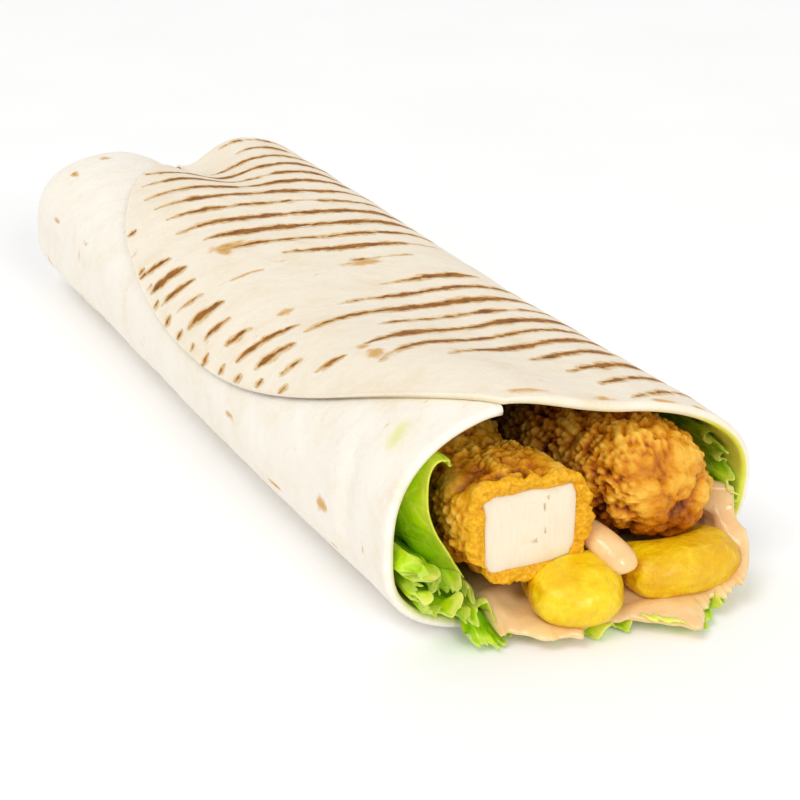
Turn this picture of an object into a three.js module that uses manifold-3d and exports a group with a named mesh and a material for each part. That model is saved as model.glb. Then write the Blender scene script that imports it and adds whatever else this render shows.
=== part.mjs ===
// A grilled tortilla wrap with an open front end: fried chicken strips, potato
// pieces, sauce and lettuce. Millimetres, +Z up. The wrap lies along Y on the
// plane z = 0, its open end faces -Y and its closed end +Y.

import * as THREE from 'three';
import Module from 'manifold-3d';
import { mergeVertices } from 'three/addons/utils/BufferGeometryUtils.js';

const wasm = await Module();
wasm.setup();

// Driving dimensions. Values in { rim, middle, far } change along the wrap.
const rimY = -106.5; // plane of the open end
const farY = 104; // where the closed end starts to roll in
const widthRight = { rim: 37.1, middle: 32.3, far: 34.6 }; // half widths under the flap
const widthLeft = { rim: 38.6, middle: 41.1, far: 41.5 };
const widestLevel = { rim: 18.5, middle: 19, far: 17.5 }; // height of the widest place
const heightLeft = { rim: 46, middle: 39, far: 39 };
const heightRight = { rim: 38.6, middle: 35.6, far: 36.2 };
const roundLeft = { rim: 2.6, middle: 2.2, far: 2.9 }; // 2 is an ellipse, more is squarer
const roundRight = { rim: 2.15, middle: 2.9, far: 2.3 };
const roundBelow = 2.7;
const leftHeightTo = { rim: -20, middle: -38, far: -38 }; // x where the left height ends
const rightHeightFrom = { rim: 10, middle: 4, far: 4 }; // and where the right one begins
const settle = 0.9; // how far the soft underside is pressed flat
const furrow = { x: 0.5, depth: 7.2, width: 10.5, start: 0.7 }; // dent on top at the far end

const sheetThickness = 2.0;
const lapGap = 0.5; // air between two turns of the sheet
const lapStart = 0.38 * Math.PI; // the outer turn climbs over the inner one
const lapEnd = 0.67 * Math.PI; // between these angles on the right side
const edgeTaper = 0.7; // how much thinner the sheet's free edges are
const flap = { edge: 1.423, middleY: -10, bowFront: 0.35, bowBack: 0.385, limit: 0.42, softness: 0.03 };
const tail = { inFromFlap: 0.012, bulge: 0.71, roundness: 1.3 }; // angles in half turns, as the flap's
const curl = { radius: 5, turn: 0.72 * Math.PI }; // rolled rim of the closed end
const foldedPly = { reach: 9, sink: 2.5, fade: 3 }; // sheet tucked in behind that rim
const closingLine = {
  level: 16, halfHeight: 17.4, halfWidth: 38, plugWidth: 25, plugDepth: 1.6, plugHeight: 4,
};

const clearance = 0.35; // between neighbouring pieces
const leafThickness = 0.9;

const turn = 2 * Math.PI;

// ---- small functions ----

function smooth(from, to, value) {
  const t = Math.min(Math.max((value - from) / (to - from), 0), 1);
  return t * t * (3 - 2 * t);
}

function signedPower(value, power) {
  return Math.sign(value) * Math.abs(value) ** power;
}

function lerp(from, to, t) {
  return from + (to - from) * t;
}

// A value that changes along the wrap, v being 0 at the rim and 1 at the far end.
function along(dimension, v) {
  const frontChange = (dimension.middle - dimension.rim) * smooth(0, 0.4, v);
  const backChange = (dimension.far - dimension.middle) * smooth(0.6, 1, v);
  return dimension.rim + frontChange + backChange;
}

// A repeatable number from 0 to 1 for a cell of a pattern.
function cellNumber(i, j, seed) {
  let bits = Math.imul(i + 101, 374761393) ^ Math.imul(j + 57, 668265263);
  bits ^= Math.imul(seed + 7, 2246822519);
  bits = Math.imul(bits ^ (bits >>> 13), 1274126177);
  return ((bits ^ (bits >>> 16)) >>> 0) / 4294967296;
}

// Round knobs packed in cells: the height of the knob over a place, in cell widths.
function knobs(across, lengthwise, cellsRound, seed) {
  let height = 0;
  for (let i = -1; i <= 1; i += 1) {
    for (let j = -1; j <= 1; j += 1) {
      const column = Math.floor(across) + i;
      const row = Math.floor(lengthwise) + j;
      const wrapped = ((column % cellsRound) + cellsRound) % cellsRound;
      const centreX = column + 0.5 + 0.6 * (cellNumber(wrapped, row, seed) - 0.5);
      const centreY = row + 0.5 + 0.6 * (cellNumber(wrapped, row, seed + 1) - 0.5);
      const radius = 0.5 + 0.35 * cellNumber(wrapped, row, seed + 2);
      const distance = Math.hypot(across - centreX, lengthwise - centreY) / radius;
      if (distance < 1) {
        height = Math.max(height, radius * Math.sqrt(1 - distance * distance));
      }
    }
  }
  return height;
}

// ---- closed meshes ----

function geometryFrom(positions, faces) {
  const geometry = new THREE.BufferGeometry();
  geometry.setAttribute('position', new THREE.Float32BufferAttribute(positions, 3));
  geometry.setIndex(faces);
  return geometry;
}

// A thin sheet: two faces on one grid, split into triangles alike, and four edges.
// point(i, j, side) gives the place on the outer (0) or the inner (1) face.
function sheetGeometry(columns, rows, point) {
  const positions = [];
  const faces = [];
  const perFace = (columns + 1) * (rows + 1);
  const at = (i, j, side) => side * perFace + j * (columns + 1) + i;
  for (let side = 0; side < 2; side += 1) {
    for (let j = 0; j <= rows; j += 1) {
      for (let i = 0; i <= columns; i += 1) {
        positions.push(...point(i, j, side));
      }
    }
  }
  const quad = (a, b, c, d) => faces.push(a, b, c, a, c, d);
  for (let j = 0; j < rows; j += 1) {
    for (let i = 0; i < columns; i += 1) {
      quad(at(i, j, 0), at(i, j + 1, 0), at(i + 1, j + 1, 0), at(i + 1, j, 0));
      faces.push(at(i, j, 1), at(i + 1, j + 1, 1), at(i, j + 1, 1));
      faces.push(at(i, j, 1), at(i + 1, j, 1), at(i + 1, j + 1, 1));
    }
  }
  for (let i = 0; i < columns; i += 1) {
    quad(at(i, 0, 0), at(i + 1, 0, 0), at(i + 1, 0, 1), at(i, 0, 1));
    quad(at(i + 1, rows, 0), at(i, rows, 0), at(i, rows, 1), at(i + 1, rows, 1));
  }
  for (let j = 0; j < rows; j += 1) {
    quad(at(0, j + 1, 0), at(0, j, 0), at(0, j, 1), at(0, j + 1, 1));
    quad(at(columns, j, 0), at(columns, j + 1, 0), at(columns, j + 1, 1), at(columns, j, 1));
  }
  return geometryFrom(positions, faces);
}

// A body built of rings, each closed round, with a centre point at both ends.
// point(j, angle) gives a place on ring j; rings run towards +Y.
function ringGeometry(rings, sides, point) {
  const positions = [];
  const faces = [];
  for (let j = 0; j <= rings; j += 1) {
    for (let i = 0; i < sides; i += 1) {
      positions.push(...point(j, (i / sides) * turn));
    }
  }
  const endCentre = (j) => {
    const sum = [0, 0, 0];
    for (let i = 0; i < sides; i += 1) {
      const place = point(j, (i / sides) * turn);
      place.forEach((value, axis) => {
        sum[axis] += value / sides;
      });
    }
    positions.push(...sum);
    return positions.length / 3 - 1;
  };
  const first = endCentre(0);
  const last = endCentre(rings);
  for (let i = 0; i < sides; i += 1) {
    const next = (i + 1) % sides;
    for (let j = 0; j < rings; j += 1) {
      const a = j * sides + i;
      const b = j * sides + next;
      faces.push(a, b, b + sides, a, b + sides, a + sides);
    }
    faces.push(first, next, i);
    faces.push(last, rings * sides + i, rings * sides + next);
  }
  return geometryFrom(positions, faces);
}

// ---- cutting and joining ----

function solidFrom(geometry) {
  const bare = geometry.clone();
  bare.deleteAttribute('normal');
  bare.deleteAttribute('uv');
  const merged = mergeVertices(bare, 1e-4);
  const mesh = new wasm.Mesh({
    numProp: 3,
    vertProperties: new Float32Array(merged.attributes.position.array),
    triVerts: new Uint32Array(merged.index.array),
  });
  return new wasm.Manifold(mesh);
}

function geometryOf(solid) {
  const mesh = solid.getMesh();
  return geometryFrom(Array.from(mesh.vertProperties), Array.from(mesh.triVerts));
}

function cutBy(geometry, ...cutters) {
  let solid = solidFrom(geometry);
  cutters.forEach((cutter) => {
    solid = solid.subtract(solidFrom(cutter));
  });
  const pieces = solid.decompose().sort((one, other) => other.volume() - one.volume());
  return geometryOf(pieces[0]);
}

// ---- the rolled sheet ----

// Outer surface of the roll: angle 0 is the middle of the underside, a quarter
// turn the right side, half a turn the top and three quarters the left side.
function rollSection(angle, y) {
  const v = (y - rimY) / (farY - rimY);
  const side = Math.sin(angle);
  const isUpper = Math.cos(angle) < 0;
  const halfWidth = side > 0 ? along(widthRight, v) : along(widthLeft, v);
  const level = along(widestLevel, v);
  const towardsLeft = smooth(0.3, 0.7, 0.5 - 0.5 * side);
  const roundAbove = lerp(along(roundRight, v), along(roundLeft, v), towardsLeft);
  const round = isUpper ? roundAbove : roundBelow;
  const x = halfWidth * signedPower(side, 2 / round);
  const towardsRight = smooth(along(leftHeightTo, v), along(rightHeightFrom, v), x);
  const height = lerp(along(heightLeft, v), along(heightRight, v), towardsRight);
  const reach = isUpper ? height - level : level;
  let z = level - reach * signedPower(Math.cos(angle), 2 / round);
  if (isUpper) {
    const across = (x - furrow.x) / furrow.width;
    z -= furrow.depth * smooth(furrow.start, 1, v) * Math.exp(-(across ** 2));
  }
  return [x, Math.max(z - settle, 0)];
}

// The way along the wrap: straight, round the rolled rim, then inwards.
function lengthwise(s) {
  const over = s - farY;
  if (over <= 0) {
    return { y: s, inset: 0 };
  }
  const rimRun = curl.radius * curl.turn;
  const angle = Math.min(over, rimRun) / curl.radius;
  const ply = Math.max(over - rimRun, 0);
  return {
    y: farY + curl.radius * Math.sin(angle) - foldedPly.sink * (1 - Math.exp(-ply / foldedPly.fade)),
    inset: curl.radius * (1 - Math.cos(angle)) + ply,
  };
}

function surfacePoint(angle, s) {
  const { y, inset } = lengthwise(s);
  const [x, z] = rollSection(angle, Math.min(s, farY));
  const narrow = 1 - inset / closingLine.halfWidth;
  const flatten = 1 - inset / closingLine.halfHeight;
  return new THREE.Vector3(x * narrow, y, closingLine.level + (z - closingLine.level) * flatten);
}

// A point under the outer surface, at a depth measured square to it.
function pointBelow(angle, s, depth) {
  const stepRound = 0.012;
  const stepAlong = 0.3;
  const round = surfacePoint(angle + stepRound, s).sub(surfacePoint(angle - stepRound, s));
  const lengthways = surfacePoint(angle, s + stepAlong).sub(surfacePoint(angle, s - stepAlong));
  const inwards = round.cross(lengthways).normalize();
  return surfacePoint(angle, s).addScaledVector(inwards, depth);
}

// Angle of the flap's round edge, which lies on top of the roll: it bows back
// from the middle towards both ends, up to a limit.
function flapEdge(s) {
  const y = Math.min(s, farY);
  const hundreds = (y - flap.middleY) / 100;
  const bow = (hundreds < 0 ? flap.bowFront : flap.bowBack) * hundreds ** 2;
  const bowed = Math.exp(-bow / flap.softness) + Math.exp(-flap.limit / flap.softness);
  return Math.PI * (flap.edge + flap.softness * Math.log(bowed));
}

// Angle of the sheet's other edge, which lies underneath the flap.
function tailEdge(s) {
  const y = Math.min(s, farY);
  const bulge = Math.max(1 - (y / rimY) ** 2, 0) ** tail.roundness;
  return flapEdge(s) - Math.PI * (tail.inFromFlap + tail.bulge * bulge);
}

// Depth of the outer turn's outer face: it climbs over the turn underneath.
function outerTurnDepth(angle) {
  return -(sheetThickness + lapGap) * smooth(lapStart, lapEnd, angle);
}

// Depth of the wall's inner face, for what lies inside the wrap.
function innerDepth(angle, s) {
  const wrapped = angle > turn ? angle - turn : angle;
  const isInnerTurn = wrapped > tailEdge(s);
  return sheetThickness + (isInnerTurn ? 0 : outerTurnDepth(wrapped));
}

function buildTortilla() {
  const tailColumns = 5;
  const wallColumns = 32;
  const flapColumns = 6;
  const columns = tailColumns + wallColumns + flapColumns;
  const wallStart = 1.1 * Math.PI;
  const wallEnd = 3 * Math.PI;

  const places = [];
  const straightRows = 14;
  const crowding = 0.07; // rows lie closer together at both ends
  for (let k = 0; k <= straightRows; k += 1) {
    const u = k / straightRows;
    places.push(rimY + (farY - rimY) * (u - crowding * Math.sin(turn * u)));
  }
  const rimRun = curl.radius * curl.turn;
  const curlRows = 4;
  for (let k = 1; k <= curlRows; k += 1) {
    places.push(farY + (rimRun * k) / curlRows);
  }
  const plyRows = 3;
  for (let k = 1; k <= plyRows; k += 1) {
    places.push(farY + rimRun + (foldedPly.reach * k) / plyRows);
  }

  const angleAt = (i, s) => {
    if (i < tailColumns) {
      return lerp(tailEdge(s), wallStart, i / tailColumns);
    }
    if (i <= tailColumns + wallColumns) {
      return lerp(wallStart, wallEnd, (i - tailColumns) / wallColumns);
    }
    return lerp(wallEnd, turn + flapEdge(s), (i - tailColumns - wallColumns) / flapColumns);
  };

  const sheet = sheetGeometry(columns, places.length - 1, (i, j, side) => {
    const s = places[j];
    const angle = angleAt(i, s);
    const outer = angle < turn ? 0 : outerTurnDepth(angle - turn);
    const isFreeEdge = i === 0 || i === columns;
    const depth = side === 1 ? outer + sheetThickness : outer + (isFreeEdge ? edgeTaper : 0);
    return pointBelow(angle, s, depth).toArray();
  });

  // The folded-in end of the sheet closes the slit that the tucked ply leaves.
  const closingY = lengthwise(places[places.length - 1]).y - 1;
  const closing = new THREE.SphereGeometry(1, 16, 8);
  closing.scale(closingLine.plugWidth, closingLine.plugDepth, closingLine.plugHeight);
  closing.translate(0, closingY, closingLine.level);
  const whole = solidFrom(sheet).add(solidFrom(closing));
  return geometryOf(whole);
}

// ---- fried chicken strips ----

// Stations along a strip: y, centre x, centre z, half width, half height.
const strips = {
  chicken_cut: {
    stations: [
      [-110.5, -11.8, 21.2, 12.6, 10.3],
      [-106, -11.9, 20.7, 13.0, 10.6],
      [-98, -12.3, 19.8, 13.0, 10.8],
      [-60, -14.6, 18.2, 13.2, 10.6],
      [30, -17.6, 16.8, 13.4, 10.2],
      [76, -18.0, 15.6, 12.4, 8.8],
      [88, -18.0, 15.2, 8.0, 5.2],
    ],
    round: 2.7,
    lean: 0,
    seed: 11,
  },
  chicken_whole: {
    stations: [
      [-113.6, 17.4, 22.0, 2.4, 2.1],
      [-111.5, 17.3, 21.9, 7.2, 6.7],
      [-106, 17.1, 21.8, 11.6, 10.8],
      [-98, 16.9, 21.2, 12.6, 11.5],
      [-60, 14.6, 18.6, 12.4, 10.8],
      [30, 12.0, 16.8, 12.4, 9.8],
      [74, 12.0, 15.4, 11.6, 8.8],
      [86, 12.0, 15.2, 7.0, 5.2],
    ],
    round: 2.1,
    lean: -0.12, // the top slopes down to the right
    seed: 29,
  },
};

// The station values at a place along the strip, blended smoothly.
function stationAt(stations, y) {
  let k = 0;
  while (k < stations.length - 2 && stations[k + 1][0] < y) {
    k += 1;
  }
  const [before, after] = [stations[k], stations[k + 1]];
  const t = Math.min(Math.max((y - before[0]) / (after[0] - before[0]), 0), 1);
  return before.map((value, index) => lerp(value, after[index], t));
}

function buildStrip(strip, grow) {
  const sides = 28;
  const fineRows = 14;
  const fineLength = 42; // the end that shows has the finer relief
  const coarseRows = 9;
  const knobSize = 5.2;
  const knobHeight = 2.0;
  const cellsRound = 16;
  const front = strip.stations[0][0];
  const back = strip.stations[strip.stations.length - 1][0];
  const places = [];
  for (let k = 0; k <= fineRows; k += 1) {
    places.push(front + (fineLength * k) / fineRows);
  }
  for (let k = 1; k <= coarseRows; k += 1) {
    places.push(lerp(front + fineLength, back, (k / coarseRows) ** 0.85));
  }
  const last = places.length - 1;
  return ringGeometry(last, sides, (j, angle) => {
    const y = places[j];
    const [, centreX, centreZ, halfWidth, halfHeight] = stationAt(strip.stations, y);
    const sin = signedPower(Math.sin(angle), 2 / strip.round);
    const cos = signedPower(Math.cos(angle), 2 / strip.round);
    const knob = knobs((angle / turn) * cellsRound, y / knobSize, cellsRound, strip.seed);
    const waver = Math.sin(angle * 2 + y * 0.11 + strip.seed) + Math.sin(angle * 3 - y * 0.07);
    const relief = (knob - 0.5) * knobHeight + 0.35 * waver + grow;
    const endGrow = j === 0 ? -grow : j === last ? grow : 0;
    const x = -sin * (halfWidth + relief);
    return [centreX + x, y + endGrow, centreZ - cos * (halfHeight + relief) + strip.lean * x];
  });
}

// ---- potato pieces ----

const potatoes = {
  potato_left: {
    centre: [-3.2, -111.3, 8.0], half: [9.1, 10.6, 5.0], round: 2.7, yaw: -15, pitch: 6, seed: 3,
  },
  potato_right: {
    centre: [19.2, -111.5, 8.2], half: [12.6, 8.2, 4.3], round: 3.0, yaw: -5, pitch: 9, seed: 8,
  },
};

function buildPotato(potato, grow) {
  const rings = 10;
  const sides = 18;
  const [halfX, halfY, halfZ] = potato.half.map((half) => half + grow);
  const power = 2 / potato.round;
  const geometry = ringGeometry(rings, sides, (j, angle) => {
    const slope = lerp(-0.46, 0.46, j / rings) * Math.PI;
    const girth = Math.cos(slope) ** power;
    const wavy = Math.sin(2 * angle + potato.seed) + Math.sin(3 * slope + potato.seed * 2);
    const uneven = 1 + 0.03 * wavy;
    return [
      -halfX * girth * uneven * signedPower(Math.sin(angle), power),
      halfY * signedPower(Math.sin(slope), power),
      -halfZ * girth * uneven * signedPower(Math.cos(angle), power),
    ];
  });
  geometry.rotateX(THREE.MathUtils.degToRad(potato.pitch));
  geometry.rotateZ(THREE.MathUtils.degToRad(potato.yaw));
  geometry.translate(...potato.centre);
  return geometry;
}

// ---- layers that follow the inside of the wrap ----

// How far the bottom layers hang out in front of the rim, over the surface the
// wrap lies on: most between the potato pieces and the right, least on the left.
function reachInFront(angle) {
  const [x, z] = rollSection(angle, rimY);
  const middle = 7.5 + 3.5 * smooth(-20, 0, x) - 4 * smooth(25, 35, x);
  const tongue = 6.5 * Math.exp(-(((x - 14) / 8) ** 2));
  return (middle + tongue) * (1 - 0.8 * smooth(5, 15, z));
}

// The smooth leaf on the left leans away from the wall towards its foot, most
// of all in the mouth of the wrap.
function standOff(angle, s) {
  const part = angle / Math.PI;
  const lean = 4.8 * smooth(1.33, 1.55, part) + 3.4 * smooth(1.55, 1.69, part);
  return 2.4 + lean * (0.3 + 0.7 * smooth(rimY + 22, rimY + 4, s));
}

// A leaf lies against the wall between two angles. Its front edge is frilled and
// it waves in and out. lie and frontLie are how far it stands off the wall inside
// the wrap, and off the wall's line in front of it.
const leaves = {
  lettuce_bottom: {
    angles: [1.81 * Math.PI, 2.33 * Math.PI], columns: 20, rows: 12, back: 84,
    reach: reachInFront, lie: () => 0.5, frontLie: 0.4, wave: 0.9, frill: 2.4, seed: 5,
  },
  lettuce_left: {
    angles: [1.55 * Math.PI, 1.795 * Math.PI], columns: 12, rows: 10, back: 60,
    reach: () => 3, lie: () => 0.5, frontLie: 2.9, wave: 2.4, frill: 2.4, seed: 17,
  },
  lettuce_fold: {
    angles: [1.3 * Math.PI, 1.69 * Math.PI], columns: 12, rows: 8, back: 40,
    reach: () => -1, lie: standOff, frontLie: 8,
    wave: 0.5, frill: 1.2, seed: 2,
  },
  lettuce_right: {
    angles: [2.45 * Math.PI, 2.66 * Math.PI], columns: 12, rows: 10, back: 60,
    reach: () => -2, lie: () => 0.5, frontLie: 2.6, wave: 2.0, frill: 3.0, seed: 23,
  },
};

function leafFront(angle, leaf) {
  const frill = 0.5 * Math.sin(angle * 31 + leaf.seed) + 0.5 * Math.sin(angle * 13);
  return rimY - leaf.reach(angle) + leaf.frill * frill;
}

// The way back along a layer: rows lie close together out to the rim, then spread.
function backAlong(front, back, u) {
  const frontShare = 0.34;
  const atRim = Math.max(rimY - 0.6, front + 2);
  if (u < frontShare) {
    return lerp(front, atRim, u / frontShare);
  }
  return lerp(atRim, back, ((u - frontShare) / (1 - frontShare)) ** 1.5);
}

// Depth of a leaf's underside below the roll's outer surface. The wave is
// strong in front and dies away inside, where the filling presses the leaf flat.
function leafDepth(angle, s, leaf) {
  const inside = innerDepth(angle, s) + leaf.lie(angle, s);
  const lead = smooth(rimY - 0.6, rimY - 4, s);
  const loose = smooth(rimY + 45, rimY, s);
  const quick = Math.sin(angle * 21 + leaf.seed + s * 0.05);
  const slow = Math.sin(angle * 9 - s * 0.13);
  const swing = 0.5 + 0.3 * quick + 0.2 * slow;
  return lerp(inside, leaf.frontLie, lead) + leaf.wave * swing * (0.25 + 0.75 * loose);
}

function buildLeaf(leaf, grow) {
  const sideGrow = grow / 30;
  const start = leaf.angles[0] - sideGrow;
  const end = leaf.angles[1] + sideGrow;
  return sheetGeometry(leaf.columns, leaf.rows, (i, j, side) => {
    const angle = lerp(start, end, i / leaf.columns);
    const s = backAlong(leafFront(angle, leaf) - grow, leaf.back, j / leaf.rows);
    const depth = leafDepth(angle, s, leaf) + (side === 1 ? leafThickness + grow : -grow);
    return pointBelow(angle, s, depth).toArray();
  });
}

// ---- sauce ----

function buildSauceBed() {
  const under = leaves.lettuce_bottom;
  const columns = 18;
  const rows = 11;
  const start = 1.86 * Math.PI;
  const end = 2.435 * Math.PI;
  const back = 78;
  return sheetGeometry(columns, rows, (i, j, side) => {
    const across = i / columns;
    const angle = lerp(start, end, across);
    const torn = 1.2 * Math.sin(angle * 17 + 1) + 0.8 * Math.sin(angle * 41);
    const s = backAlong(rimY - 0.85 * reachInFront(angle) + torn, back, j / rows);
    const above = clearance + 0.5 + 0.6 * smooth(rimY, rimY - 4, s);
    const floor = leafDepth(angle, s, under) + leafThickness + above;
    const edge = Math.min(smooth(0, 0.15, across), smooth(1, 0.85, across)) * smooth(0, 2, j);
    const thickness = 0.8 + edge * (2.1 + 0.7 * Math.sin(angle * 11 + s * 0.2));
    return pointBelow(angle, s, floor + (side === 1 ? thickness : 0)).toArray();
  });
}

// A thick drip that runs down from between the strips over a potato piece.
function buildSauceDrip() {
  const path = new THREE.CatmullRomCurve3([
    new THREE.Vector3(3.4, -100, 14.5),
    new THREE.Vector3(2.6, -106, 15.4),
    new THREE.Vector3(3.6, -110.5, 15.0),
    new THREE.Vector3(5.6, -113.5, 12.6),
    new THREE.Vector3(6.2, -115, 9.4),
  ]);
  const rings = 11;
  const sides = 12;
  const dripRadius = 2.8;
  return ringGeometry(rings, sides, (j, angle) => {
    const u = 1 - j / rings;
    const centre = path.getPoint(u);
    const tangent = path.getTangent(u).negate();
    const sideways = new THREE.Vector3(1, 0, 0).cross(tangent).normalize();
    const across = new THREE.Vector3().crossVectors(tangent, sideways).normalize();
    const blunt = Math.sqrt(Math.max(1 - (2 * Math.abs(u - 0.5)) ** 6, 0.02));
    const radius = dripRadius * blunt * lerp(0.85, 1.1, u);
    return centre
      .addScaledVector(across, radius * Math.sin(angle))
      .addScaledVector(sideways, radius * Math.cos(angle))
      .toArray();
  });
}

// ---- assembly ----

const group = new THREE.Group();

function addPart(name, geometry, color, roughness) {
  const material = new THREE.MeshStandardMaterial({ color, roughness, metalness: 0 });
  const mesh = new THREE.Mesh(geometry, material);
  mesh.name = name;
  group.add(mesh);
}

const grownCut = buildStrip(strips.chicken_cut, clearance);
const grownWhole = buildStrip(strips.chicken_whole, clearance);
const grownLeft = buildPotato(potatoes.potato_left, clearance);
const grownRight = buildPotato(potatoes.potato_right, clearance);
const grownBottom = buildLeaf(leaves.lettuce_bottom, 1.6 * clearance);

const potatoLeft = cutBy(buildPotato(potatoes.potato_left, 0), grownCut, grownWhole, grownBottom);
const potatoRight = cutBy(buildPotato(potatoes.potato_right, 0), grownWhole, grownBottom);
const sauceBody = cutBy(buildSauceBed(), grownLeft, grownRight, grownCut, grownWhole);
const drip = cutBy(buildSauceDrip(), grownCut, grownWhole, grownLeft, grownRight);

addPart('tortilla', buildTortilla(), '#f2e8d4', 0.75);
addPart('chicken_cut', buildStrip(strips.chicken_cut, 0), '#d9952f', 0.6);
addPart('chicken_whole', buildStrip(strips.chicken_whole, 0), '#c8792a', 0.6);
addPart('potato_left', potatoLeft, '#eccb2e', 0.5);
addPart('potato_right', potatoRight, '#e3b51f', 0.5);
addPart('sauce_bed', sauceBody, '#f2c495', 0.3);
addPart('sauce_drip', drip, '#f2c495', 0.3);
Object.entries(leaves).forEach(([name, leaf]) => {
  addPart(name, buildLeaf(leaf, 0), '#8db32a', 0.5);
});

export default group;
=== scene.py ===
# A grilled tortilla wrap with fried chicken, potato, sauce and lettuce.
# Shapes are worked out in millimetres and become metres when a mesh is made.
# Round the roll, angle 0 is the middle of the underside and a quarter turn is the right side.
import math
import bpy
import numpy as np
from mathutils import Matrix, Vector


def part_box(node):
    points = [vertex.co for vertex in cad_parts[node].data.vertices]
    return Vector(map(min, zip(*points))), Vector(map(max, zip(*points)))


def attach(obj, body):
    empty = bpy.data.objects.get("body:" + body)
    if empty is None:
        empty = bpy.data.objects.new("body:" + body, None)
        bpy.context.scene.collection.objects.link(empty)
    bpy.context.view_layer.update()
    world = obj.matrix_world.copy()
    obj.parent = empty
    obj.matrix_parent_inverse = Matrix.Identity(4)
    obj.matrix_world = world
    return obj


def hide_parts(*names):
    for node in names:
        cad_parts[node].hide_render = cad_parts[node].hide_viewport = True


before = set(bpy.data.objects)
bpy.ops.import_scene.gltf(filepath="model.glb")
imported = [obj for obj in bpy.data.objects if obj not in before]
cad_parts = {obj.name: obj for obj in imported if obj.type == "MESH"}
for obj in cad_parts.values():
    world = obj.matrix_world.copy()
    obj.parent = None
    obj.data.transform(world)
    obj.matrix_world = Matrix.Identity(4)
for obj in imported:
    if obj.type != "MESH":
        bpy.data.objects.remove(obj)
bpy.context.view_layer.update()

mm = 0.001
pi = math.pi
turn = 2 * pi


# numbers on whole arrays

def smooth(start, end, value):  # 0 at start, 1 at end, level at both
    t = np.clip((np.asarray(value, float) - start) / (end - start), 0, 1)
    return t * t * (3 - 2 * t)


def signedPower(value, power):  # |value| to a power, with its sign
    return np.sign(value) * np.abs(value) ** power


def blend(first, second, t):  # straight from first to second
    return first + (second - first) * t


def bell(value, middle, width, power=2):  # 1 at the middle, falling away to both sides
    return np.exp(-((value - middle) / width) ** power)


def quarterRound(t):  # from 0 to 1 as a quarter of a circle rises, then level
    return np.sqrt(1 - (1 - np.clip(t, 0, 1)) ** 2)


def cellNumbers(i, j, k, seed):  # a repeatable number from 0 to 1 for each whole-number cell
    bits = (i * 374761393 + j * 668265263 + k * 433494437 + seed * 974634777) & 0xFFFFFFFF
    bits = ((bits ^ (bits >> 13)) * 1274126177) & 0xFFFFFFFF
    bits = ((bits ^ (bits >> 15)) * 668265263) & 0xFFFFFFFF
    return ((bits ^ (bits >> 16)) & 0xFFFFFF) / 0xFFFFFF


def softNoise(points, seed):  # value noise, -1 to 1: corner numbers of a cell, blended smoothly
    cell = np.floor(points).astype(np.int64)
    t = points - cell
    t = t * t * (3 - 2 * t)
    total = 0.0
    for corner in range(8):
        step = np.array([corner & 1, corner >> 1 & 1, corner >> 2 & 1])
        share = np.prod(np.where(step == 1, t, 1 - t), axis=-1)
        at = cell + step
        total = total + share * cellNumbers(at[..., 0], at[..., 1], at[..., 2], seed)
    return 2 * total - 1


def noiseOver(seed, first, second=0.0, third=0.0):  # the same noise over up to three coordinates
    return softNoise(np.stack(np.broadcast_arrays(first, second, third), -1), seed)


def lumps(points, seed, fullness=1.0):  # the highest of the balls that sit one to a cell, in cell widths
    cell = np.floor(points).astype(np.int64)
    height = np.zeros(points.shape[:-1])
    for step in range(27):
        at = cell + np.array([step % 3 - 1, step // 3 % 3 - 1, step // 9 - 1])
        i, j, k = at[..., 0], at[..., 1], at[..., 2]
        jitter = np.stack([cellNumbers(i, j, k, seed + axis) for axis in range(3)], -1)
        radius = fullness * (0.5 + 0.42 * cellNumbers(i, j, k, seed + 3))
        away = ((points - at - 0.15 - 0.7 * jitter) ** 2).sum(-1)
        height = np.maximum(height, np.sqrt(np.maximum(radius ** 2 - away, 0)))
    return height


def unit(vectors):  # the same directions with length 1
    return vectors / np.maximum(np.linalg.norm(vectors, axis=-1, keepdims=True), 1e-9)


def curveThrough(stations, count):  # a cubic path through a few places, its slope from their neighbours
    p = np.array(stations, float)
    p = np.concatenate([2 * p[:1] - p[1:2], p, 2 * p[-1:] - p[-2:-1]])
    t = np.linspace(0, len(stations) - 1, count)
    k = np.minimum(t.astype(int), len(stations) - 2)
    f = (t - k)[:, None]
    a, b, c, d = p[k], p[k + 1], p[k + 2], p[k + 3]
    square, cube = 2 * a - 5 * b + 4 * c - d, 3 * b - a - 3 * c + d
    return 0.5 * (2 * b + (c - a) * f + square * f ** 2 + cube * f ** 3)


# meshes from grids of points

def gridFaces(rows, columns, flip=False):  # quads of a grid that is rows x columns points
    j, i = np.mgrid[0:rows - 1, 0:columns - 1]
    a = j * columns + i
    quads = np.stack([a, a + columns, a + columns + 1, a + 1], -1).reshape(-1, 4)
    return quads[:, ::-1] if flip else quads


def borderOf(grid):  # which places of a grid lie on its border
    isBorder = np.ones(grid.shape[:2], bool)
    isBorder[1:-1, 1:-1] = False
    return isBorder


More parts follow.
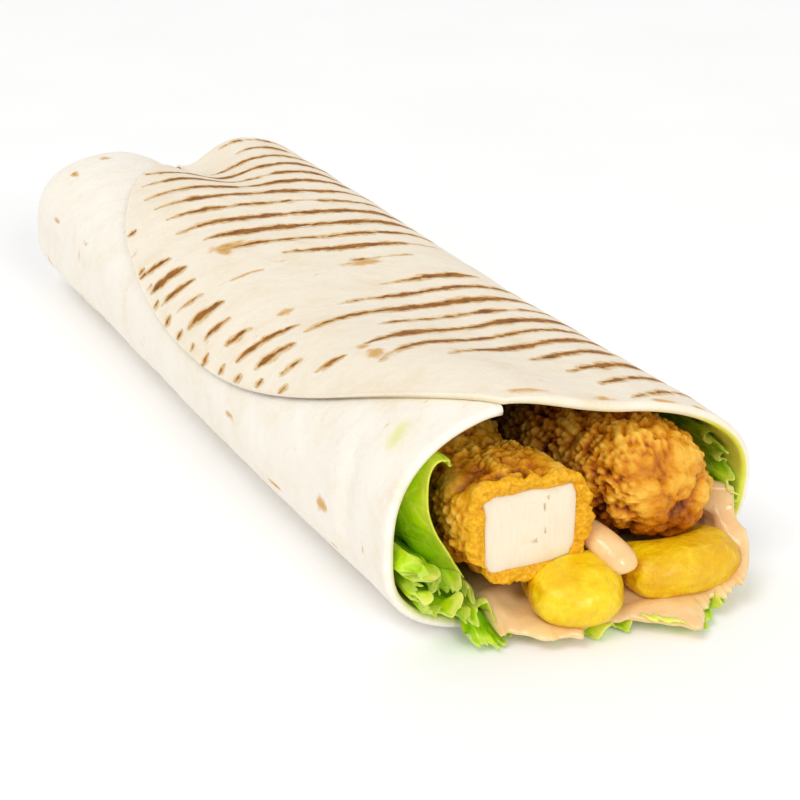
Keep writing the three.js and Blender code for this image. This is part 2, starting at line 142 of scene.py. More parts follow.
def addPiece(name, points, faces, material, replaced=(), uv=None, fields=None):
    # one piece of the wrap; the fields are numbers or vectors on its points, for the material
    mesh = bpy.data.meshes.new(name)
    mesh.from_pydata((points * mm).tolist(), [], faces)
    mesh.polygons.foreach_set("use_smooth", [True] * len(mesh.polygons))
    if uv is not None:
        corner = np.zeros(len(mesh.loops), np.int32)
        mesh.loops.foreach_get("vertex_index", corner)
        layer = mesh.uv_layers.new(name="UVMap")
        layer.data.foreach_set("uv", (uv[corner] * mm).astype(np.float32).ravel())
    for title, values in (fields or {}).items():
        kind, key = ("FLOAT", "value") if values.ndim == 1 else ("FLOAT_VECTOR", "vector")
        field = mesh.attributes.new(title, kind, "POINT")
        field.data.foreach_set(key, values.astype(np.float32).ravel())
    mesh.materials.append(material)
    mesh.update()
    piece = bpy.data.objects.new(name, mesh)
    bpy.context.scene.collection.objects.link(piece)
    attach(piece, "root")
    if replaced:
        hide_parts(*replaced)
    triangles = sum(len(face) - 2 for face in faces)
    print(f"made {name}: {triangles} triangles")


def closedSheet(name, outer, inner, material, replaced=(), uv=None, fields=None):
    # two grids with the same border, the second one's border taken from the first;
    # a field is one grid of values for both of them, or a pair of grids
    rows, columns = outer.shape[:2]
    count = rows * columns
    second = np.where(borderOf(outer), np.arange(count).reshape(rows, columns), 0)
    second[1:-1, 1:-1] = count + np.arange((rows - 2) * (columns - 2)).reshape(rows - 2, columns - 2)
    insideOf = lambda values: values[1:-1, 1:-1].reshape(-1, *values.shape[2:])
    both = lambda first, other: np.concatenate([first.reshape(count, *first.shape[2:]), insideOf(other)])
    backFaces = second.ravel()[gridFaces(rows, columns, flip=True)]
    faces = np.concatenate([gridFaces(rows, columns), backFaces]).tolist()
    values = {title: both(*field) if isinstance(field, tuple) else both(field, field)
              for title, field in (fields or {}).items()}
    uvBoth = None if uv is None else both(uv, uv)
    addPiece(name, both(outer, inner), faces, material, replaced, uvBoth, values)


def ringBody(name, rings, material, replaced=(), fields=None):
    # rings of points, each closed round, with a pole at both ends
    rows, sides = rings.shape[:2]
    around = np.arange(sides)
    after = (around + 1) % sides
    j, i = np.mgrid[0:rows - 1, 0:sides]
    start, end = j * sides + i, j * sides + after[i]
    quads = np.stack([start, end, end + sides, start + sides], -1)
    pole = np.full(sides, rows * sides)
    lastRing = (rows - 1) * sides
    first = np.stack([pole, after, around], -1)
    last = np.stack([pole + 1, lastRing + around, lastRing + after], -1)
    faces = quads.reshape(-1, 4).tolist() + first.tolist() + last.tolist()
    withPoles = lambda values: np.concatenate([values.reshape(rows * sides, *values.shape[2:]),
                                               np.stack([values[0].mean(0), values[-1].mean(0)])])
    allFields = {title: withPoles(values) for title, values in (fields or {}).items()}
    addPiece(name, withPoles(rings), faces, material, replaced, None, allFields)


# material nodes

def tint(color):  # red, green and blue as a screen shows them, 0 to 255, in linear light
    share = [value / 255 for value in color]
    return tuple(v / 12.92 if v < 0.04045 else ((v + 0.055) / 1.055) ** 2.4 for v in share) + (1.0,)


def newMaterial(name, scatter=None, **settings):  # settings are the shader's own sockets
    material = bpy.data.materials.new(name)
    material.use_nodes = True
    shader = material.node_tree.nodes["Principled BSDF"]
    for title, value in settings.items():
        shader.inputs[title.replace("_", " ")].default_value = value
    if scatter:
        shader.inputs["Subsurface Radius"].default_value = scatter
    return material, material.node_tree, shader


def addNode(tree, kind, inputs=None, **settings):  # a node with its inputs linked or set
    made = tree.nodes.new("ShaderNode" + kind)
    for title, value in settings.items():
        setattr(made, title, value)
    for title, value in (inputs or {}).items():
        if isinstance(value, bpy.types.NodeSocket):
            tree.links.new(value, made.inputs[title])
        else:
            made.inputs[title].default_value = value
    return made


def calc(tree, operation, *values):  # one step of arithmetic on numbers or other nodes' values
    return addNode(tree, "Math", dict(enumerate(values)), operation=operation).outputs[0]


def times(tree, value, share):  # the product of two such values
    return calc(tree, "MULTIPLY", value, share)


def aroundZero(tree, noise, amount):  # noise about its middle, made larger or smaller
    return times(tree, calc(tree, "SUBTRACT", noise, 0.5), amount)


def rangeOf(tree, value, fromMin, fromMax, toMin=0.0, toMax=1.0):  # smooth step between two values
    inputs = {"Value": value, "From Min": fromMin, "From Max": fromMax, "To Min": toMin, "To Max": toMax}
    return addNode(tree, "MapRange", inputs, interpolation_type="SMOOTHSTEP").outputs[0]


def mixTints(tree, factor, first, second, kind="MIX"):  # two colours, each a tint or a node's
    made = addNode(tree, "Mix", data_type="RGBA", blend_type=kind)
    for socket, value in ((made.inputs[0], factor), (made.inputs[6], first), (made.inputs[7], second)):
        if isinstance(value, bpy.types.NodeSocket):
            tree.links.new(value, socket)
        else:
            socket.default_value = tint(value) if isinstance(value, tuple) else value
    return made.outputs[2]


def ramp(tree, factor, *stops):  # tints at places from 0 to 1
    made = addNode(tree, "ValToRGB", {"Fac": factor})
    elements = made.color_ramp.elements
    while len(elements) < len(stops):
        elements.new(0.5)
    for element, (place, color) in zip(elements, stops):
        element.position = place
        element.color = tint(color)
    return made.outputs[0]


def noiseOn(tree, vector, size, detail=2.0, roughness=0.5, stretch=(1, 1, 1)):
    # noise whose lumps are about this many millimetres wide
    scaled = addNode(tree, "Mapping", {"Vector": vector, "Scale": [axis / (size * mm) for axis in stretch]})
    inputs = {"Vector": scaled.outputs[0], "Scale": 1.0, "Detail": detail, "Roughness": roughness}
    return addNode(tree, "TexNoise", inputs).outputs[0]


def bumpOn(tree, height, distance, normal=None):  # relief this many millimetres high
    inputs = {"Height": height, "Distance": distance * mm}
    if normal is not None:
        inputs["Normal"] = normal
    return addNode(tree, "Bump", inputs).outputs[0]


def placeOn(tree):  # where on the piece a point is, in metres
    return addNode(tree, "TexCoord").outputs["Object"]


def fieldOf(tree, name, output="Fac"):  # a value that the mesh holds on its points
    return addNode(tree, "Attribute", attribute_name=name).outputs[output]


# the rolled sheet, whose surface carries the tortilla, the leaves and the sauce

sheet = {
    "rimY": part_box("tortilla")[0].y / mm,
    "farY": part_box("tortilla")[1].y / mm - 7.4,  # the rolled rim reaches this far past it
    "widthRight": (37.1, 32.3, 34.6),  # at the rim, the middle and the far end
    "widthLeft": (38.6, 41.1, 41.5),
    "widestLevel": (18.5, 19, 17.5),
    "heightLeft": (46, 39, 39),
    "heightRight": (38.6, 35.6, 36.2),
    "roundLeft": (2.6, 2.2, 2.9),
    "roundRight": (2.15, 2.9, 2.3),
    "roundBelow": 2.7,
    "leftHeightTo": (-20, -38, -38),
    "rightHeightFrom": (10, 4, 4),
    "settle": 0.9,  # this much of the underside is pressed flat on the table
    "settleSoftness": 0.5,
    "settleBack": 0.07,  # what the soft settling lifts is taken off again
    "furrow": {"x": 0.5, "depth": 7.2, "width": 10.5, "start": 0.7},  # along the top at the far end
    "thickness": 2.0,
    "lapGap": 0.5,
    "lapStart": 0.38 * pi,  # the outer turn climbs over the one underneath from here
    "lapEnd": 0.67 * pi,
    "edgeTaper": 0.7,  # so much thinner at the flap's edge
    "flapEdge": 1.423,  # the flap's edge at its middle, and how it bows back, in half turns
    "flapMiddleY": -10,
    "bowFront": 0.35,
    "bowBack": 0.385,
    "bowLimit": 0.42,
    "bowSoftness": 0.03,
    "tailInFromFlap": -0.012,  # the edge underneath, in half turns from the flap's
    "tailBulge": 0.71,
    "tailRoundness": 1.3,
    "curlRadius": 5,  # the far end's rolled rim
    "curlTurn": 0.72 * pi,
    "plyReach": 9,  # the ply that is folded in behind it
    "plySink": 2.5,
    "plyFade": 3,
    "closingLevel": 16.0,  # it is drawn in to a slit at this height
    "closingHalfHeight": 17.4,
    "closingHalfWidth": 38.0,
}
rimY = sheet["rimY"]
farY = sheet["farY"]
curlRun = sheet["curlRadius"] * sheet["curlTurn"]


def alongWrap(key, v):  # a value given for the rim, the middle and the far end
    rim, middle, far = sheet[key]
    return rim + (middle - rim) * smooth(0, 0.4, v) + (far - middle) * smooth(0.6, 1, v)


def rollSection(angle, y):
    # a squared ellipse round the roll, whose height goes over from a left to a right value;
    # below, its lowest part settles softly to a flat
    v = (y - rimY) / (farY - rimY)
    side = np.sin(angle)
    isUpper = np.cos(angle) < 0
    halfWidth = np.where(side > 0, alongWrap("widthRight", v), alongWrap("widthLeft", v))
    level = alongWrap("widestLevel", v)
    towardsLeft = smooth(0.3, 0.7, 0.5 - 0.5 * side)
    roundAbove = blend(alongWrap("roundRight", v), alongWrap("roundLeft", v), towardsLeft)
    power = np.where(isUpper, 2 / roundAbove, 2 / sheet["roundBelow"])
    x = halfWidth * signedPower(side, power)
    towardsRight = smooth(alongWrap("leftHeightTo", v), alongWrap("rightHeightFrom", v), x)
    height = blend(alongWrap("heightLeft", v), alongWrap("heightRight", v), towardsRight)
    reach = np.where(isUpper, height - level, level)
    z = level - reach * signedPower(np.cos(angle), power)
    furrow = sheet["furrow"]
    dent = furrow["depth"] * smooth(furrow["start"], 1, v) * bell(x, furrow["x"], furrow["width"])
    z = z - np.where(isUpper, dent, 0)
    soft = sheet["settleSoftness"]
    return x, soft * np.logaddexp(0, (z - sheet["settle"]) / soft) - sheet["settleBack"]


def rollSurface(angle, s):
    # the section carried along s: straight, round the far rim, then drawn in to a slit
    over = s - farY
    radius = sheet["curlRadius"]
    bend = np.clip(over, 0, curlRun) / radius
    ply = np.maximum(over - curlRun, 0)
    rolled = farY + radius * np.sin(bend) - sheet["plySink"] * (1 - np.exp(-ply / sheet["plyFade"]))
    y = np.where(over <= 0, s, rolled)
    inset = np.where(over <= 0, 0, radius * (1 - np.cos(bend)) + ply)
    x, z = rollSection(angle, np.minimum(s, farY))
    level = sheet["closingLevel"]
    flatten = 1 - inset / sheet["closingHalfHeight"]
    return np.stack([x * (1 - inset / sheet["closingHalfWidth"]), y, level + (z - level) * flatten], -1)


def below(angle, s, depth):  # a place at a depth square to the roll's outer surface
    smallTurn, smallStep = 0.012, 0.3  # between the neighbours that give the surface's slope
    roundStep = rollSurface(angle + smallTurn, s) - rollSurface(angle - smallTurn, s)
    alongStep = rollSurface(angle, s + smallStep) - rollSurface(angle, s - smallStep)
    inwards = unit(np.cross(roundStep, alongStep))
    return rollSurface(angle, s) + inwards * np.asarray(depth)[..., None]


def flapEdgeAt(s):  # the flap's round edge: it bows back from the middle, up to a limit
    hundreds = (np.minimum(s, farY) - sheet["flapMiddleY"]) / 100
    bow = np.where(hundreds < 0, sheet["bowFront"], sheet["bowBack"]) * hundreds ** 2
    soft = sheet["bowSoftness"]
    return pi * (sheet["flapEdge"] + soft * np.log(np.exp(-bow / soft) + np.exp(-sheet["bowLimit"] / soft)))


def tailEdgeAt(s):  # the other edge, underneath the flap
    bulge = np.maximum(1 - (np.minimum(s, farY) / rimY) ** 2, 0) ** sheet["tailRoundness"]
    return flapEdgeAt(s) - pi * (sheet["tailInFromFlap"] + sheet["tailBulge"] * bulge)


def outerTurnDepth(angle):  # the outer turn climbs over the turn underneath
    return -(sheet["thickness"] + sheet["lapGap"]) * smooth(sheet["lapStart"], sheet["lapEnd"], angle)


def innerDepth(angle, s):  # depth of the wall's inner face
    wrapped = np.where(angle > turn, angle - turn, angle)
    return sheet["thickness"] + np.where(wrapped > tailEdgeAt(s), 0, outerTurnDepth(wrapped))


tortilla = {
    "columns": (26, 176, 48),  # under the flap, round the wall, on the flap
    "columnCrowd": 1.6,  # how much they crowd at the two free edges
    "wallFrom": 1.1 * pi,
    "wallTo": 3 * pi,
    "rows": (140, 14, 12),  # straight, round the far rim, folded in
    "edgeRows": (0.0, 0.08, 0.3, 0.62, 1.05, 1.6),
    "edgeRound": 1.0,
    "edgeTaperReach": 14,
    "press": 0.48,  # the flap lies down on the turn underneath near its edge
    "pressReach": 25,
    "lowest": 0.02,
    "waves": 0.28,
    "waveSize": 16.0,
    "blisters": 0.12,
    "blisterSize": 4.2,
    "pleats": {"depth": 0.9, "count": 11, "start": 105.0, "flatten": 0.9, "lift": 0.8},
    "crease": {"s": -89.2, "angle": 1.46 * pi, "reach": 0.11 * pi, "depth": 0.75, "width": 2.2,
               "waver": 1.2, "ridge": 0.5, "ridgeAt": 2.4, "ridgeWidth": 1.6},  # the last two in widths
    "stain": {"s": -96.4, "angle": 1.275 * pi, "width": 0.11, "length": 1.7, "lean": 9, "strength": 0.55},
    "moistRight": {"x": (22, 31), "s": (-60, -95), "strength": 0.85},  # leaf green on the inner wall
    "moistLeft": {"halfTurns": 1.76, "width": 0.14, "s": (-92, -100), "strength": 0.3},
    # painted shade: the inner face darkens between these distances behind the rim
    "shadeBehindRim": (6, 42),
    "seed": 4,
    "tints": {
        "dough": ((0.3, (251, 245, 233)), (0.55, (249, 240, 226)), (0.75, (243, 231, 209))),
        "floury": (254, 249, 238),
        "fleck": (226, 186, 116),
        "flap": (251, 246, 237),  # painted shade: the dough's colour is multiplied by it there, so the flap is a little darker
        "inside": (228, 214, 140),
        "leafStain": (222, 226, 10),
        # painted shade deep inside the roll
        "deep": (92, 62, 30),
        "halo": (220, 172, 84),
        "patch": (216, 166, 84),
        "seared": ((0.3, (116, 62, 12)), (0.7, (176, 112, 30))),
    },
}

grillMarks = {  # rows of seared dashes, across the flap; s runs along the wrap, g round it
    "far": {
        "first": 103.5, "pitch": 9.1, "lean": 0.06, "leanFrom": 0.0, "fan": 0.0, "half": 1.3,
        "taper": (12.0, 7.0),
        "left": (-9, -11, 4, 21, 25, 27, 27, 27, 28, 25, 24, 13, 2),
        "right": (-30, -32, -31, -33, -34, -32, -33, -31, -34, -33, -32, -28, -15),
    },
    "near": {
        "first": -23.0, "pitch": 8.6, "lean": 0.0, "leanFrom": 0.0, "fan": -0.44, "half": 1.35,
        "taper": (11.0, 7.0),
        "left": (5, 15, 27, 14, 23, 25, 14, 2, -7, -9, -12),
        "right": (-23, -32, -33, -32, -34, -33, -36, -37, -35, -34, -35),
    },
    "rim": {  # dots where the flap's free edge touched the grill; g counts from that edge
        "first": 46.0, "pitch": 8.4, "lean": 0.0, "leanFrom": 0.0, "fan": 0.0, "half": 0.8,
        "taper": (1.6, 1.6),
        "left": (3.4, 3.6, 3.2, 3.6, 3.2, 3.4, 3.4, 3.2, 3.6, 3.4, 3.0, 3.4, 3.2),
        "right": (0.5, 0.2, 0.8, 0.3, 0.6, 0.4, 0.5, 0.9, 0.2, 0.5, 0.4, 0.8, 0.3),
    },
    "edge": {
        "first": 24.8, "pitch": 8.47, "lean": 0.36, "leanFrom": 37.0, "fan": 0.0, "half": 1.3,
        "taper": (4.0, 4.0),
        "left": (42, 43, 43, 42.5, 43, 42, 40, 41, 40, 38, 34),
        "right": (33, 32, 33, 34, 32, 34, 33, 26, 30, 32, 27),
    },
}
dashes = {  # what all the seared dashes share
    "waver": 0.8, "waverSize": (14, 22),
    "fanLength": 80,  # the lean grows to its full value over this length
    "uneven": 0.5, "unevenSize": 5.5,
    "gapDepth": 1.3, "gapSize": 9.0,
    "thinnest": 0.7, "thicker": 0.45,
    "taperPower": 0.6,
    "none": -2.0,  # half a dash's thickness where there is none
    "onFlapFrom": 2.4 * pi,
}
toasted = (  # small browned places: half turns round the roll, s, and half their size both ways
    (3.162, 15.6, 0.045, 2.4), (3.172, 12.6, 0.016, 3.4), (2.991, -8.5, 0.030, 2.0),
    (3.190, -29.0, 0.022, 1.8), (3.167, -68.5, 0.020, 3.2), (3.168, -62.5, 0.016, 1.6),
    (3.180, -3.7, 0.045, 1.0), (3.060, -104.0, 0.040, 1.0), (2.960, -104.2, 0.035, 1.1),
    (2.850, -105.0, 0.030, 0.9), (2.770, -105.0, 0.022, 0.9), (1.251, 96.4, 0.014, 2.4),
    (1.144, 99.9, 0.016, 1.6), (1.421, 88.2, 0.010, 2.6), (1.408, 65.6, 0.010, 2.2),
    (1.492, -35.4, 0.010, 3.0), (1.565, -57.2, 0.010, 4.0), (1.500, -80.1, 0.012, 3.2),
    (1.591, -83.0, 0.010, 2.4),
)


def markField(marks, g, s, seed):
    # the number of the dash that a place is beside, counted along the wrap, and half its
    # thickness there: thin at both ends, uneven between, below nothing outside its reach
    lean = marks["lean"] + marks["fan"] * smooth(marks["first"], marks["first"] - dashes["fanLength"], s)
    waver = noiseOver(seed, s / dashes["waverSize"][0], g / dashes["waverSize"][1])
    bent = s - lean * (g - marks["leanFrom"]) + dashes["waver"] * waver
    number = (marks["first"] - bent) / marks["pitch"]
    nearest = np.clip(np.round(number), 0, len(marks["left"]) - 1).astype(int)
    left = np.array(marks["left"], float)[nearest]
    right = np.array(marks["right"], float)[nearest]
    inside = np.minimum(left - g, g - right)
    uneven = noiseOver(seed + 1, g / dashes["unevenSize"], nearest * 7.3)  # each dash has its own noise
    gaps = smooth(0.5, 0.75, noiseOver(seed + 2, g / dashes["gapSize"], nearest * 3.7))
    share = dashes["thinnest"] + dashes["thicker"] * cellNumbers(nearest, nearest * 0 + 5, nearest * 0, seed)
    taper = smooth(0, marks["taper"][0], left - g) * smooth(0, marks["taper"][1], g - right)
    half = marks["half"] * share * taper ** dashes["taperPower"] * (1 + dashes["uneven"] * uneven)
    half = half - dashes["gapDepth"] * gaps
    isReal = (number > -0.5) & (number < len(marks["left"]) - 0.5) & (inside > 0)
    return number, np.where(isReal, half, dashes["none"])


def sheetGrid():
    # angles and places along the sheet: rows close together at the rim, then straight, round
    # the far rim and folded in; columns from the edge under the flap round to the flap's edge
    tail, wall, over = tortilla["columns"]
    straight, curl, ply = tortilla["rows"]
    edgeS = rimY + np.array(tortilla["edgeRows"])
    s = np.concatenate([
        edgeS,
        np.linspace(edgeS[-1], farY, straight + 1)[1:],
        np.linspace(farY, farY + curlRun, curl + 1)[1:],
        np.linspace(farY + curlRun, farY + curlRun + sheet["plyReach"], ply + 1)[1:],
    ])[:, None]
    crowd = tortilla["columnCrowd"]
    fromTail = (np.arange(tail) / tail) ** crowd
    roundWall = np.arange(wall) / wall
    toFlap = 1 - (1 - np.arange(over + 1) / over) ** crowd
    wallFrom, wallTo = tortilla["wallFrom"], tortilla["wallTo"]
    angle = np.concatenate([
        blend(tailEdgeAt(s), wallFrom, fromTail[None]),
        blend(wallFrom, wallTo, roundWall[None]) + 0 * s,
        blend(wallTo, turn + flapEdgeAt(s), toFlap[None]),
    ], axis=1)
    return angle, s + 0 * angle


def sheetSwell(bare, angle, s):
    # how far the sheet leaves its smooth form, inwards: slow waves, pleats round the far end
    # that are flat and lifted where it is folded in, and one crease with a low ridge beside it
    noise = softNoise(bare / tortilla["waveSize"], tortilla["seed"])
    swell = -tortilla["waves"] * noise * (0.4 + 0.6 * smooth(rimY, rimY + 12, s))
    pleats = tortilla["pleats"]
    fold = np.sin(angle * pleats["count"] + 1.3 * np.sin(angle * 3)) * pleats["depth"]
    fold = fold * smooth(pleats["start"], farY + curlRun, s) * smooth(0.2, 0.6, np.abs(np.sin(angle)) + 0.3)
    folded = smooth(farY + curlRun - 2, farY + curlRun + 4, s)
    swell = swell * (1 - folded) + fold * (1 - pleats["flatten"] * folded) - pleats["lift"] * folded
    crease = tortilla["crease"]
    alongCrease = bell(angle, crease["angle"], crease["reach"], 4)
    across = (s - crease["s"] - crease["waver"] * np.sin(angle * 5)) / crease["width"]
    ridge = crease["ridge"] * bell(across, crease["ridgeAt"], crease["ridgeWidth"])
    return swell + alongCrease * (crease["depth"] * bell(across, 0, 1) - ridge)


def sheetFields(bare, angle, s, girth, fromFlap):
    # what the finish reads: the dashes, how much each place is stained or browned, and painted shade deep
    # inside on the inner face
    fields = {}
    for number, (name, marks) in enumerate(grillMarks.items()):
        across = fromFlap if name == "rim" else girth
        dash, half = markField(marks, across, s, 20 + 7 * number)
        outer = np.stack([dash, np.where(angle > dashes["onFlapFrom"], half, dashes["none"]), 0 * s], -1)
        inner = np.stack([dash, dashes["none"] + 0 * s, 0 * s], -1)
        fields[name + "Marks"] = (outer, inner)
    fields["onFlap"] = smooth(2.3 * pi, 2.7 * pi, angle)
    fields["isInside"] = (0 * s, 0 * s + 1)
    stain = tortilla["stain"]
    slanted = s + stain["lean"] * (angle - stain["angle"])
    spot = bell(angle, stain["angle"], stain["width"], 4) * bell(slanted, stain["s"], stain["length"])
    right, left = tortilla["moistRight"], tortilla["moistLeft"]
    moistRight = right["strength"] * smooth(*right["x"], bare[..., 0]) * smooth(*right["s"], s)
    moistLeft = bell(angle / pi, left["halfTurns"], left["width"], 4)
    moistLeft = left["strength"] * moistLeft * smooth(*left["s"], s)
    fields["stained"] = (stain["strength"] * spot, np.maximum(moistRight, moistLeft))
    browned = 0 * s
    for halfTurns, spotS, wide, long in toasted:
        browned = np.maximum(browned, bell(angle / pi, halfTurns, wide) * bell(s, spotS, long))
    fields["toasted"] = (browned, 0 * s)
    # painted shade on the inner face, growing deeper into the roll
    fields["deep"] = (0 * s, smooth(*tortilla["shadeBehindRim"], s - rimY))
    return fields


def makeTortilla(material):
    # two faces of the sheet, each at its depth below the roll's outer surface, with round edges
    angle, s = sheetGrid()
    lap = np.where(angle > turn, outerTurnDepth(angle - turn), 0)
    bare = below(angle, s, lap)
    steps = np.linalg.norm(np.diff(bare, axis=1), axis=-1)
    girth = np.concatenate([np.zeros((len(s), 1)), np.cumsum(steps, axis=1)], axis=1)
    fromFlap = girth[:, -1:] - girth
    top = tortilla["columns"][0] + tortilla["columns"][1]
    girth = girth - girth[:, top][:, None]  # 0 on top, in the middle of the flap
    swell = sheetSwell(bare, angle, s)

    thickness = sheet["thickness"]
    nearest = np.minimum(np.minimum(fromFlap, girth - girth[:, :1]), np.minimum(s - rimY, s[-1:] - s))
    rounding = thickness / 2 * (1 - quarterRound(nearest / tortilla["edgeRound"]))
    taper = sheet["edgeTaper"] * smooth(tortilla["edgeTaperReach"], 0, fromFlap)
    press = tortilla["press"] * smooth(tortilla["pressReach"], 3, fromFlap)
    fine = softNoise(bare / tortilla["blisterSize"], tortilla["seed"] + 1)
    blister = -tortilla["blisters"] * fine * smooth(0, 6, nearest)
    outerDepth = lap + swell + np.maximum(rounding, taper * (1 - rounding)) + press + blister
    innerFace = lap + swell + thickness - rounding + press
    isBorder = borderOf(s)
    meet = (outerDepth + innerFace) / 2
    outer = below(angle, s, np.where(isBorder, meet, outerDepth))
    inner = below(angle, s, np.where(isBorder, meet, innerFace))
    outer[..., 2] = np.maximum(outer[..., 2], tortilla["lowest"])
    fields = sheetFields(bare, angle, s, girth, fromFlap)
    uv = np.stack([girth, s], -1)
    closedSheet("tortillaSheet", outer, inner, material, ["tortilla"], uv, fields)


def searNodes(tree, wavy):  # how seared a place is, in the dashes and in the glow round them
    sear, halo = None, None
    for name, marks in grillMarks.items():
        field = addNode(tree, "SeparateXYZ", {0: fieldOf(tree, name + "Marks", "Vector")})
        nearest = calc(tree, "ROUND", field.outputs[0])
        offset = calc(tree, "ABSOLUTE", calc(tree, "SUBTRACT", field.outputs[0], nearest))
        away = calc(tree, "SUBTRACT", times(tree, offset, marks["pitch"]), field.outputs[1])
        away = calc(tree, "ADD", away, wavy)
        core = rangeOf(tree, away, 0.05, -0.7)
        glow = rangeOf(tree, away, 1.1, -0.2)
        sear = core if sear is None else calc(tree, "MAXIMUM", sear, core)
        halo = glow if halo is None else calc(tree, "MAXIMUM", halo, glow)
    return sear, halo


def tortillaFinish():
    # mottled, floury dough with flecks; round the dashes a golden glow, in them seared brown; painted shade
    # deep inside the roll and on the flap
    tints = tortilla["tints"]
    material, tree, shader = newMaterial("toastedFlour", (1.0, 0.7, 0.4), Subsurface_Weight=0.12,
                                         Subsurface_Scale=0.003, Specular_IOR_Level=0.3)
    place = placeOn(tree)
    flat = addNode(tree, "UVMap", uv_map="UVMap").outputs[0]
    ragged = noiseOn(tree, flat, 1.3, 4.0, 0.7, (0.6, 1.0, 1.0))
    knotty = noiseOn(tree, flat, 3.2, 2.0, 0.5)
    wavy = calc(tree, "ADD", aroundZero(tree, ragged, 2.6), aroundZero(tree, knotty, 2.4))
    sear, halo = searNodes(tree, wavy)

    mottle = noiseOn(tree, place, 9.0, 4.0, 0.6)
    dough = ramp(tree, mottle, *tints["dough"])
    floury = rangeOf(tree, noiseOn(tree, place, 1.6, 3.0, 0.6), 0.5, 0.75, 0.0, 0.25)
    dough = mixTints(tree, floury, dough, tints["floury"])
    fleck = rangeOf(tree, noiseOn(tree, flat, 6.5, 3.0, 0.6, (0.6, 1.3, 1.0)), 0.66, 0.74)
    speckle = rangeOf(tree, ragged, 0.35, 0.6)
    dough = mixTints(tree, times(tree, fleck, speckle), dough, tints["fleck"])
    # painted shade: the dough on the flap a little darker
    dough = mixTints(tree, fieldOf(tree, "onFlap"), dough, tints["flap"], "MULTIPLY")
    dough = mixTints(tree, times(tree, fieldOf(tree, "isInside"), 0.35), dough, tints["inside"])
    dough = mixTints(tree, fieldOf(tree, "stained"), dough, tints["leafStain"])
    # painted shade: darker deep inside the roll
    dough = mixTints(tree, times(tree, fieldOf(tree, "deep"), 0.85), dough, tints["deep"])

    golden = mixTints(tree, times(tree, halo, 0.8), dough, tints["halo"])
    patch = calc(tree, "ADD", fieldOf(tree, "toasted"), times(tree, wavy, 0.3))
    golden = mixTints(tree, rangeOf(tree, patch, 0.3, 0.8, 0.0, 0.9), golden, tints["patch"])
    sear = calc(tree, "MAXIMUM", sear, rangeOf(tree, patch, 0.85, 1.15, 0.0, 0.8))
    charred = ramp(tree, noiseOn(tree, place, 2.5, 3.0, 0.6), *tints["seared"])
    color = mixTints(tree, sear, golden, charred)
    tree.links.new(color, shader.inputs["Base Color"])
    normal = bumpOn(tree, noiseOn(tree, place, 0.9, 4.0, 0.65), 0.12)
    normal = bumpOn(tree, noiseOn(tree, place, 4.5, 3.0, 0.55), 0.5, normal)
    normal = bumpOn(tree, calc(tree, "SUBTRACT", 1.0, halo), 0.25, normal)  # the seared dashes sink in
    tree.links.new(normal, shader.inputs["Normal"])
    tree.links.new(rangeOf(tree, mottle, 0.2, 0.8, 0.55, 0.72), shader.inputs["Roughness"])
    return material


makeTortilla(tortillaFinish())


strips = {  # the fried chicken
    "chicken_cut": {
        "stations": (  # y, centre x, centre z, half width, half height
            (-110.5, -11.8, 21.2, 12.6, 10.3), (-106, -11.9, 20.7, 13.0, 10.6),
            (-98, -12.3, 19.8, 13.0, 10.8), (-60, -14.6, 18.2, 13.2, 10.6),
            (30, -17.6, 16.8, 13.4, 10.2), (76, -18.0, 15.6, 12.4, 8.8), (88, -18.0, 15.2, 8.0, 5.2),
        ),
        "round": 2.7, "lean": -0.06, "seed": 11,
        "capReach": 0.0, "pocket": 5.0,  # cut flat, with a pocket for the meat
        "browned": -17.0,  # painted shade: it is darker to the left of this x, beside the wall
        "waists": ((-88, 2.0, 5), (-76, -1.2, 5)),  # y, depth and width
        "finish": "goldenCrust", "darkerBelow": 0.15,
        "tints": ((98, 44, 6), (192, 110, 12), (232, 164, 24), (252, 212, 96)),
    },
    "chicken_whole": {
        "stations": (
            (-113.6, 17.4, 22.0, 12.4, 11.0), (-106, 17.1, 21.8, 12.6, 11.6),
            (-98, 16.9, 21.2, 12.8, 11.6), (-60, 14.6, 18.6, 12.4, 10.8),
            (30, 12.0, 16.8, 12.4, 9.8), (74, 12.0, 15.4, 11.6, 8.8), (86, 12.0, 15.2, 7.0, 5.2),
        ),
        "round": 2.1, "lean": -0.12, "seed": 29,
        "capReach": 13.0, "pocket": 0.0,  # a round end
        "browned": 4.0,
        "waists": ((-90, 1.2, 4), (-78, -0.6, 5)),
        "finish": "brownCrust", "darkerBelow": 0.4,
        "tints": ((80, 34, 4), (178, 94, 8), (224, 146, 14), (250, 202, 76)),
    },
}

crust = {
    "sides": 236,
    "fineLength": 62.0,  # the end that shows has small steps
    "fineStep": 0.31,
    "coarseRows": 120,
    "capRows": 30,
    "endRows": 14,
    "endReach": 5.0,
    "lumps": (  # size, height, fullness, share where smooth and where crumbly, weight in the shade
        (5.2, 1.9, 1.0, 1.15, 0.75, 0.4),
        (2.9, 1.5, 1.0, 0.7, 1.0, 0.6),
        (1.5, 1.1, 0.94, 0.2, 1.35, 0.7),
        (0.85, 0.55, 0.9, 0.15, 1.5, 0.5),
    ),
    "swell": 0.6,
    "swellSize": 11.0,
    "crumblySize": 7.0,
    "warp": 0.35,
    "warpSize": 3.5,
    "shadeBehindFront": (14, 48),  # painted shade: it darkens into the roll
    # painted shade on the flank against the wall
    "shadeByWall": {"fade": 6, "behindFront": (2, 9), "strength": 0.4},
    "cutRings": 16,
    "cutBulge": 0.9,
    "cutCrumbs": ((2.0, 1.1), (1.0, 0.5)),  # size and height
    "cutSlope": 0.4,
    "cutShade": 0.6,
    "meatRim": 1.5,
    "shadeTint": (70, 32, 8),
    "crumbTints": ((0.3, (214, 140, 4)), (0.55, (240, 178, 10)), (0.8, (248, 206, 60))),
}

